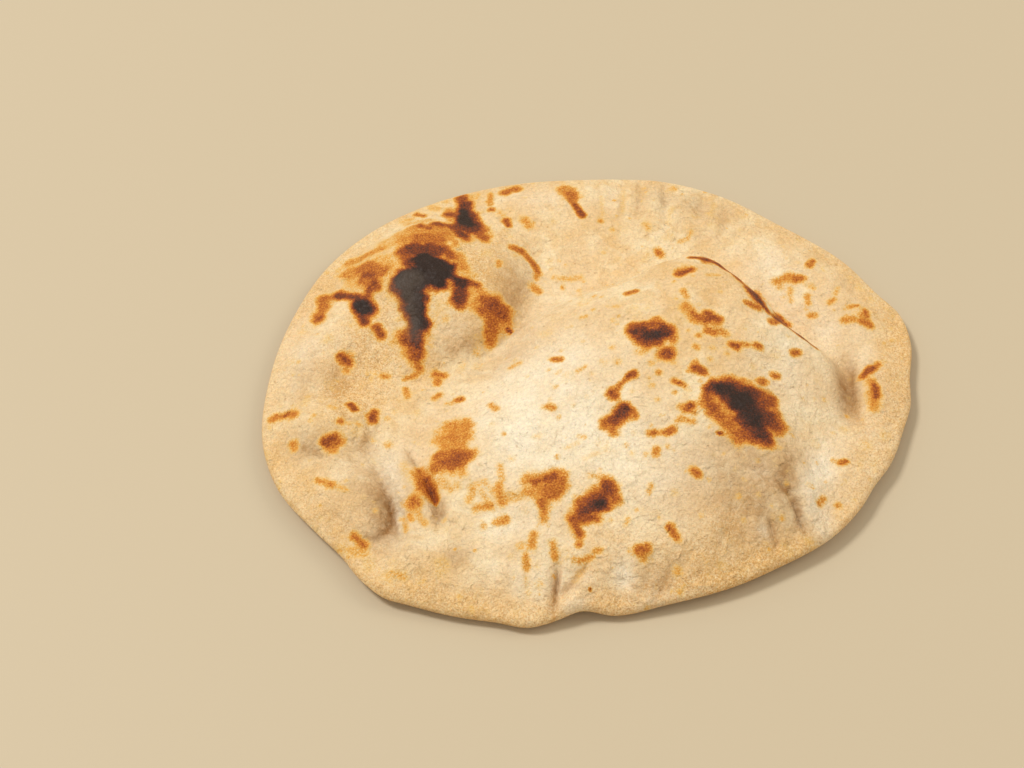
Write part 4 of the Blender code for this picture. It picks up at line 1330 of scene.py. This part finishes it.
        # a golden tinge comes and goes over a centimetre or so
        tinge = add(
            tree, "ShaderNodeTexNoise", {},
            {"Vector": place, "Scale": per_metre(self.tinge_size), "Detail": 4.0, "Distortion": 0.8},
        ).outputs["Fac"]
        tinge = add(
            tree, "ShaderNodeMapRange", {"interpolation_type": "SMOOTHSTEP"},
            {"Value": tinge, "From Min": 0.42, "From Max": 0.68, "To Min": 0.0, "To Max": self.most_tinge},
        ).outputs["Result"]
        colour = add(
            tree, "ShaderNodeMix", {"data_type": "RGBA"}, {0: tinge, 6: colour, 7: linear(self.tinge)}
        ).outputs[2]
        # flour and painted light lie evenly, while the grey and brown of skin, stain and painted shade, and
        # gold, are streaked with the mottling
        patchy = add(
            tree, "ShaderNodeMapRange", {"interpolation_type": "SMOOTHSTEP"},
            {"Value": mottle, "From Min": 0.34, "From Max": 0.64, "To Min": 0.58, "To Max": 1.0},
        ).outputs["Result"]
        # the rim's gold is granular: deep gold between pale grains of coarse flour
        deep, floury = (
            add(
                tree, "ShaderNodeMapRange", {"interpolation_type": "SMOOTHSTEP"},
                {"Value": flecks, "From Min": low, "From Max": high, "To Min": 0.0, "To Max": most},
            ).outputs["Result"]
            for low, high, most in ((0.5, 0.64, 0.7), (0.46, 0.34, 0.65))
        )
        for name, tone, share in (
            ("flour_and_light", self.flour_and_light, self.flour_and_light_cover),
            ("grey_and_shade", self.grey_and_shade, patchy),
            ("brown_and_shade", self.brown_and_shade, patchy),
            ("gold", self.gold, patchy),
            ("gold", self.deep_gold, deep),
            ("gold", self.grain, floury),
        ):
            weight = add(tree, "ShaderNodeMath", {"operation": "MULTIPLY"}, {0: field[name], 1: share})
            colour = add(
                tree, "ShaderNodeMix", {"data_type": "RGBA"},
                {0: weight.outputs[0], 6: colour, 7: linear(tone)},
            ).outputs[2]
        # specks of bran, sparse and soft
        flakes = add(
            tree, "ShaderNodeTexVoronoi", {"feature": "F1"},
            {"Vector": place, "Scale": per_metre(self.bran_apart), "Randomness": 1.0},
        )
        speck = add(
            tree, "ShaderNodeMapRange", {"interpolation_type": "SMOOTHSTEP"},
            {"Value": flakes.outputs["Distance"], "From Min": 0.26, "From Max": 0.08},
        ).outputs["Result"]
        chosen = add(tree, "ShaderNodeSeparateColor", {}, {"Color": flakes.outputs["Color"]}).outputs[0]
        chosen = add(
            tree, "ShaderNodeMath", {"operation": "GREATER_THAN"}, {0: chosen, 1: 1 - self.bran_share}
        ).outputs[0]
        speck = add(tree, "ShaderNodeMath", {"operation": "MULTIPLY"}, {0: speck, 1: chosen}).outputs[0]
        weight = add(tree, "ShaderNodeMath", {"operation": "MULTIPLY"}, {0: speck, 1: self.bran_cover})
        colour = add(
            tree, "ShaderNodeMix", {"data_type": "RGBA"},
            {0: weight.outputs[0], 6: colour, 7: linear(self.bran)},
        ).outputs[2]
        # the flour's grain lightens and darkens it slightly
        shade = add(
            tree, "ShaderNodeMapRange", {},
            {"Value": grain, "From Min": 0.3, "From Max": 0.7, "To Min": 0.86, "To Max": 1.1},
        ).outputs["Result"]
        return add(
            tree, "ShaderNodeVectorMath", {"operation": "SCALE"}, {0: colour, "Scale": shade}
        ).outputs[0]

    def uneven_toast(
        self,
        tree: bpy.types.NodeTree,
        toast: bpy.types.NodeSocket,
        mottle: bpy.types.NodeSocket,
        flecks: bpy.types.NodeSocket,
    ) -> bpy.types.NodeSocket:
        """The painted toasting broken up by mottling and grain, least where it is black.

        Args:
            tree: the material's node tree.
            toast: the painted field.
            mottle: noise of the mottling.
            flecks: noise of the flour's finest grains.

        Returns:
            The uneven toasting.
        """
        changes = [
            add(
                tree, "ShaderNodeMapRange", {},
                {"Value": pattern, "From Min": 0.3, "From Max": 0.7, "To Min": -most, "To Max": most},
            ).outputs["Result"]
            for pattern, most in ((mottle, self.mottled), (flecks, self.flecked))
        ]
        both = add(tree, "ShaderNodeMath", {"operation": "ADD"}, dict(enumerate(changes))).outputs[0]
        room = add(
            tree, "ShaderNodeMath", {"operation": "SUBTRACT"}, {0: self.uneven_room, 1: toast}
        ).outputs[0]
        room = add(tree, "ShaderNodeMath", {"operation": "MULTIPLY"}, {0: room, 1: toast}).outputs[0]
        return add(
            tree, "ShaderNodeMath", {"operation": "MULTIPLY_ADD"}, {0: both, 1: room, 2: toast}
        ).outputs[0]

    def toasted(
        self,
        tree: bpy.types.NodeTree,
        plain: bpy.types.NodeSocket,
        toast: bpy.types.NodeSocket,
        ash_and_sheen: bpy.types.NodeSocket,
    ) -> bpy.types.NodeSocket:
        """Lays the toasted colours over the plain crust, and ash with a painted sheen over the char.

        Args:
            tree: the material's node tree.
            plain: the colour of the plain crust.
            toast: how far each place is baked.
            ash_and_sheen: where the char is ashy and shows a painted sheen.

        Returns:
            The colour.
        """
        ramp = add(tree, "ShaderNodeValToRGB", {}, {"Fac": toast})
        stops = ramp.color_ramp.elements
        while len(stops) < len(self.toast):
            stops.new(1.0)
        for stop, (at, tone) in zip(stops, self.toast):
            stop.position = at
            stop.color = linear(tone)
        cover = add(
            tree, "ShaderNodeMapRange", {"interpolation_type": "SMOOTHSTEP"},
            {"Value": toast, "From Min": 0.02, "From Max": 0.3},
        ).outputs["Result"]
        colour = add(
            tree, "ShaderNodeMix", {"data_type": "RGBA"}, {0: cover, 6: plain, 7: ramp.outputs["Color"]}
        ).outputs[2]
        weight = add(tree, "ShaderNodeMath", {"operation": "MULTIPLY"}, {0: ash_and_sheen, 1: self.ash_and_sheen_cover})
        return add(
            tree, "ShaderNodeMix", {"data_type": "RGBA"},
            {0: weight.outputs[0], 6: colour, 7: linear(self.ash_and_sheen)},
        ).outputs[2]

    def roughness(
        self, tree: bpy.types.NodeTree, toast: bpy.types.NodeSocket, grain: bpy.types.NodeSocket
    ) -> bpy.types.NodeSocket:
        """Dry and matt where it is floury, smoother where it is charred.

        Args:
            tree: the material's node tree.
            toast: how far each place is baked.
            grain: noise of the flour's grain.

        Returns:
            The roughness.
        """
        dry = add(
            tree, "ShaderNodeMapRange", {},
            {"Value": grain, "From Min": 0.3, "From Max": 0.7, "To Min": 0.6, "To Max": 0.82},
        ).outputs["Result"]
        charred = add(
            tree, "ShaderNodeMapRange", {},
            {"Value": toast, "From Min": 0.55, "From Max": 1.0, "To Min": 1.0, "To Max": 0.6},
        ).outputs["Result"]
        return add(
            tree, "ShaderNodeMath", {"operation": "MULTIPLY"}, {0: dry, 1: charred}
        ).outputs[0]

    def normal(
        self,
        tree: bpy.types.NodeTree,
        place: bpy.types.NodeSocket,
        mottle: bpy.types.NodeSocket,
        grain: bpy.types.NodeSocket,
    ) -> bpy.types.NodeSocket:
        """The bump of grain and crinkled skin.

        Args:
            tree: the material's node tree.
            place: place on the bread.
            mottle: noise of the mottling.
            grain: noise of the flour's grain.

        Returns:
            The bumped normal.
        """
        crinkle = add(
            tree, "ShaderNodeTexNoise", {"noise_type": "RIDGED_MULTIFRACTAL"},
            {
                "Vector": place, "Scale": per_metre(self.crinkle_size), "Detail": 4.0, "Roughness": 0.6,
                "Distortion": 0.6,
            },
        ).outputs["Fac"]
        # it has crinkled in some places and stayed smooth in others
        where = add(
            tree, "ShaderNodeTexNoise", {},
            {"Vector": place, "Scale": per_metre(self.crinkle_patch), "Detail": 2.0},
        ).outputs["Fac"]
        where = add(
            tree, "ShaderNodeMapRange", {"interpolation_type": "SMOOTHSTEP"},
            {"Value": where, "From Min": 0.42, "From Max": 0.6, "To Min": 0.35, "To Max": 1.0},
        ).outputs["Result"]
        crinkle = add(tree, "ShaderNodeMath", {"operation": "MULTIPLY"}, {0: crinkle, 1: where}).outputs[0]
        bumped = add(
            tree, "ShaderNodeBump", {},
            {"Strength": 1.0, "Distance": MM * self.crinkle_depth, "Height": crinkle},
        ).outputs["Normal"]
        for pattern, depth in ((mottle, self.mottle_depth), (grain, self.grain_depth)):
            bumped = add(
                tree, "ShaderNodeBump", {},
                {"Strength": 1.0, "Distance": MM * depth, "Height": pattern, "Normal": bumped},
            ).outputs["Normal"]
        return bumped


# --- the bread --------------------------------------------------------------------------------------

# The fields over the whole underside, where they aren't 0.
UNDERSIDE: dict[str, float] = {"gold": 0.8, "under": 1.0}


@dataclass(frozen=True)
class Roti:
    """The bread as one closed mesh, with its toasting painted on it."""

    dough: Dough = Dough()
    relief: CrustRelief = CrustRelief()
    toasting: Toasting = Toasting()
    crust: BakedCrust = BakedCrust()
    cells: int = 280  # cells across the top
    edge_crowding: float = 1.2  # above 1, the rows of cells lie closer together near the rim
    under_rows: tuple[float, ...] = (0.997, 0.993, 0.988, 0.978, 0.96, 0.93, 0.88, 0.82, 0.76, 0.71)
    draw_passes: int = 60  # passes that draw the cells together on steep flanks
    draw_step: float = 0.5  # share of the way that a vertex moves in one pass
    draw_clear: float = 10.0  # distance from the rounded edge over which the rows near it stay put

    def skin_height(self, x: Array, y: Array) -> Array:
        """Height of the finished top: the form and the crust's relief."""
        return self.dough.top_height(x, y) + self.relief.height(x, y, self.dough.inset(x, y))

    def disc_place(self, u: Array, v: Array) -> tuple[Array, Array]:
        """Spreads a square from -1 to 1 over a disc, ring by ring.

        Args:
            u: places across the square.
            v: places up it.

        Returns:
            The share of the way from the middle to the outline, and the angle.
        """
        share = np.maximum(abs(u), abs(v))
        flat = abs(u) > abs(v)
        safe_u = np.where(flat, u, 1)
        safe_v = np.where(flat | (v == 0), 1, v)
        angle = np.where(
            flat,
            45 * v / safe_u + np.where(u < 0, 180, 0),
            90 - 45 * u / safe_v + np.where(v < 0, 180, 0),
        )
        return 1 - (1 - share) ** self.edge_crowding, angle

    def spread_top(self, bm: bmesh.types.BMesh) -> tuple[Array, Array]:
        """Makes the top's grid and works out where its vertices lie in plan.

        Args:
            bm: mesh that takes the grid.

        Returns:
            The vertices' places along and across the bread.
        """
        bmesh.ops.create_grid(bm, x_segments=self.cells, y_segments=self.cells, size=1)
        square = np.array([vert.co for vert in bm.verts])
        share, angle = self.disc_place(square[:, 0], square[:, 1])
        reach = share * self.dough.outline(angle)
        x = reach * np.cos(np.radians(angle))
        y = reach * np.sin(np.radians(angle))
        bm.verts.index_update()
        ends = np.array([[vert.index for vert in edge.verts] for edge in bm.edges])
        ends = np.concatenate([ends, ends[:, ::-1]])
        step = self.draw_step * ease((self.dough.inset(x, y) - self.dough.rim_round) / self.draw_clear)
        for _ in range(self.draw_passes):
            spots = np.stack([x, y, self.dough.top_height(x, y)], axis=1)
            pull = np.linalg.norm(spots[ends[:, 0]] - spots[ends[:, 1]], axis=1)
            total = np.bincount(ends[:, 0], pull, len(x))
            x = x + step * (np.bincount(ends[:, 0], pull * x[ends[:, 1]], len(x)) / total - x)
            y = y + step * (np.bincount(ends[:, 0], pull * y[ends[:, 1]], len(y)) / total - y)
        return x, y

    def add_underside(self, bm: bmesh.types.BMesh) -> None:
        """Adds rows of faces from the edge in to the flat patch, and the patch itself.

        Args:
            bm: mesh that holds the finished top, in metres.
        """
        rim = [edge for edge in bm.edges if edge.is_boundary]
        before = 1.0
        for share in (*self.under_rows, self.dough.base_share):
            made = bmesh.ops.extrude_edge_only(bm, edges=rim)["geom"]
            rim = [item for item in made if isinstance(item, bmesh.types.BMEdge)]
            row = [item for item in made if isinstance(item, bmesh.types.BMVert)]
            x, y, _ = np.array([vert.co for vert in row]).T / MM * share / before
            for vert, *spot in zip(row, x, y, self.dough.under_height(x, y)):
                vert.co = [MM * value for value in spot]
            before = share
        bmesh.ops.contextual_create(bm, geom=rim)

    def paint(self, mesh: bpy.types.Mesh, x: Array, y: Array) -> None:
        """Writes the toasting's fields on the mesh, for the material to read.

        Args:
            mesh: the bread's mesh, whose first vertices are those of the top.
            x: places of the top's vertices along the bread.
            y: and across it.
        """
        inset = self.dough.inset(x, y)
        fields = {
            "toast": np.maximum(
                self.toasting.field(self.toasting.marks, x, y), self.toasting.freckled(x, y)
            ),
            "gold": self.toasting.rim_gold(x, y, inset),
            "flour_and_light": self.toasting.tinted(FLOUR_AND_PAINTED_LIGHT, x, y),
            "grey_and_shade": self.toasting.tinted(GREY_AND_PAINTED_SHADE, x, y),
            "brown_and_shade": self.toasting.browned_and_shaded(x, y),
            "ash_and_sheen": self.toasting.field(ASH_AND_SHEEN, x, y),
            "under": np.zeros_like(x),
        }
        for name, values in fields.items():
            whole = np.full(len(mesh.vertices), UNDERSIDE.get(name, 0.0), np.float32)
            whole[: len(values)] = values
            mesh.attributes.new(name, "FLOAT", "POINT").data.foreach_set("value", whole)

    def build(self) -> bpy.types.Object:
        """Builds and dresses the bread, and lets it stand for its solid.

        Returns:
            The finished object.
        """
        bm = bmesh.new()
        x, y = self.spread_top(bm)
        for vert, *spot in zip(bm.verts, x, y, self.skin_height(x, y)):
            vert.co = [MM * value for value in spot]
        self.add_underside(bm)
        low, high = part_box(NODE)
        corners = np.array([vert.co for vert in bm.verts])
        shift = (np.array(low) + np.array(high)) / 2 - (corners.min(axis=0) + corners.max(axis=0)) / 2
        bmesh.ops.translate(bm, verts=bm.verts, vec=(shift[0], shift[1], 0.0))
        bmesh.ops.recalc_face_normals(bm, faces=bm.faces)
        mesh = bpy.data.meshes.new("bread")
        bm.to_mesh(mesh)
        bm.free()
        mesh.shade_smooth()
        self.paint(mesh, x, y)
        mesh.materials.append(self.crust.material())
        bread = bpy.data.objects.new("bread", mesh)
        bpy.context.scene.collection.objects.link(bread)
        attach(bread, BODY)
        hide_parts(NODE)
        log.info("bread: %d vertices, %d faces", len(mesh.vertices), len(mesh.polygons))
        return bread


# --- the studio -------------------------------------------------------------------------------------


@dataclass(frozen=True)
class TableTop:
    """A plain pale honed stone top, matt, that stays in the background."""

    stone: str = "#CDBFA5"
    side: float = 4000.0

    def build(self) -> bpy.types.Object:
        """Builds the table top, which isn't part of the object.

        Returns:
            The table top.
        """
        bm = bmesh.new()
        bmesh.ops.create_grid(bm, x_segments=1, y_segments=1, size=self.side / 2 * MM)
        mesh = bpy.data.meshes.new("table_top")
        bm.to_mesh(mesh)
        bm.free()
        material = bpy.data.materials.new("honed_pale_stone")
        material.use_nodes = True
        shader = material.node_tree.nodes["Principled BSDF"]
        shader.inputs["Base Color"].default_value = linear(self.stone)
        shader.inputs["Roughness"].default_value = 0.6
        mesh.materials.append(material)
        top = bpy.data.objects.new("table_top", mesh)
        bpy.context.scene.collection.objects.link(top)
        log.info("table top: %.0f mm square", self.side)
        return top


@dataclass(frozen=True)
class SoftLight:
    """A square soft box that shines at the middle of the bread."""

    name: str
    azimuth: float  # direction that it shines from
    elevation: float
    distance: float
    side: float
    power: float  # watts
    colour: str

    def build(self) -> bpy.types.Object:
        """Builds the light.

        Returns:
            The light's object.
        """
        data = bpy.data.lights.new(self.name, "AREA")
        data.shape = "SQUARE"
        data.size = self.side * MM
        data.energy = self.power
        data.color = linear(self.colour)[:3]
        light = bpy.data.objects.new(self.name, data)
        bpy.context.scene.collection.objects.link(light)
        across, up = math.radians(self.azimuth), math.radians(self.elevation)
        towards = Vector(
            (math.cos(up) * math.cos(across), math.cos(up) * math.sin(across), math.sin(up))
        )
        light.location = towards * self.distance * MM
        light.rotation_euler = towards.to_track_quat("Z", "Y").to_euler()
        log.info("%s: %.0f W", self.name, self.power)
        return light


@dataclass(frozen=True)
class Studio:
    """The table top, the lights, the light of the room and the camera."""

    table: TableTop = TableTop()
    lights: tuple[SoftLight, ...] = (
        SoftLight("window", 160, 56, 4200, 900, 91, "#FFFCF6"),
        SoftLight("wall", 15, 38, 3600, 1500, 24, "#FFF4E2"),
    )
    room: str = "#FFF6E6"
    room_strength: float = 0.58
    camera_place: tuple[float, float, float] = (-33.4, -431.3, 555.0)
    camera_tilt: float = 38.0  # from looking straight down
    focal_length: float = 59.06
    sensor_width: float = 36.0

    def build(self) -> None:
        """Builds the studio around the bread."""
        self.table.build()
        for light in self.lights:
            light.build()
        scene = bpy.context.scene
        world = bpy.data.worlds.new("room")
        world.use_nodes = True
        background = world.node_tree.nodes["Background"]
        background.inputs["Color"].default_value = linear(self.room)
        background.inputs["Strength"].default_value = self.room_strength
        scene.world = world
        scene.view_settings.view_transform = "Standard"
        data = bpy.data.cameras.new("camera")
        data.lens = self.focal_length
        data.sensor_width = self.sensor_width
        camera = bpy.data.objects.new("camera", data)
        scene.collection.objects.link(camera)
        camera.location = Vector(self.camera_place) * MM
        camera.rotation_euler = (math.radians(self.camera_tilt), 0, 0)
        scene.camera = camera


def main() -> None:
    """Builds the bread and the studio."""
    logging.basicConfig(level=logging.INFO, format="%(name)s: %(message)s")
    Roti().build()
    Studio().build()


if __name__ == "__main__":
    main()
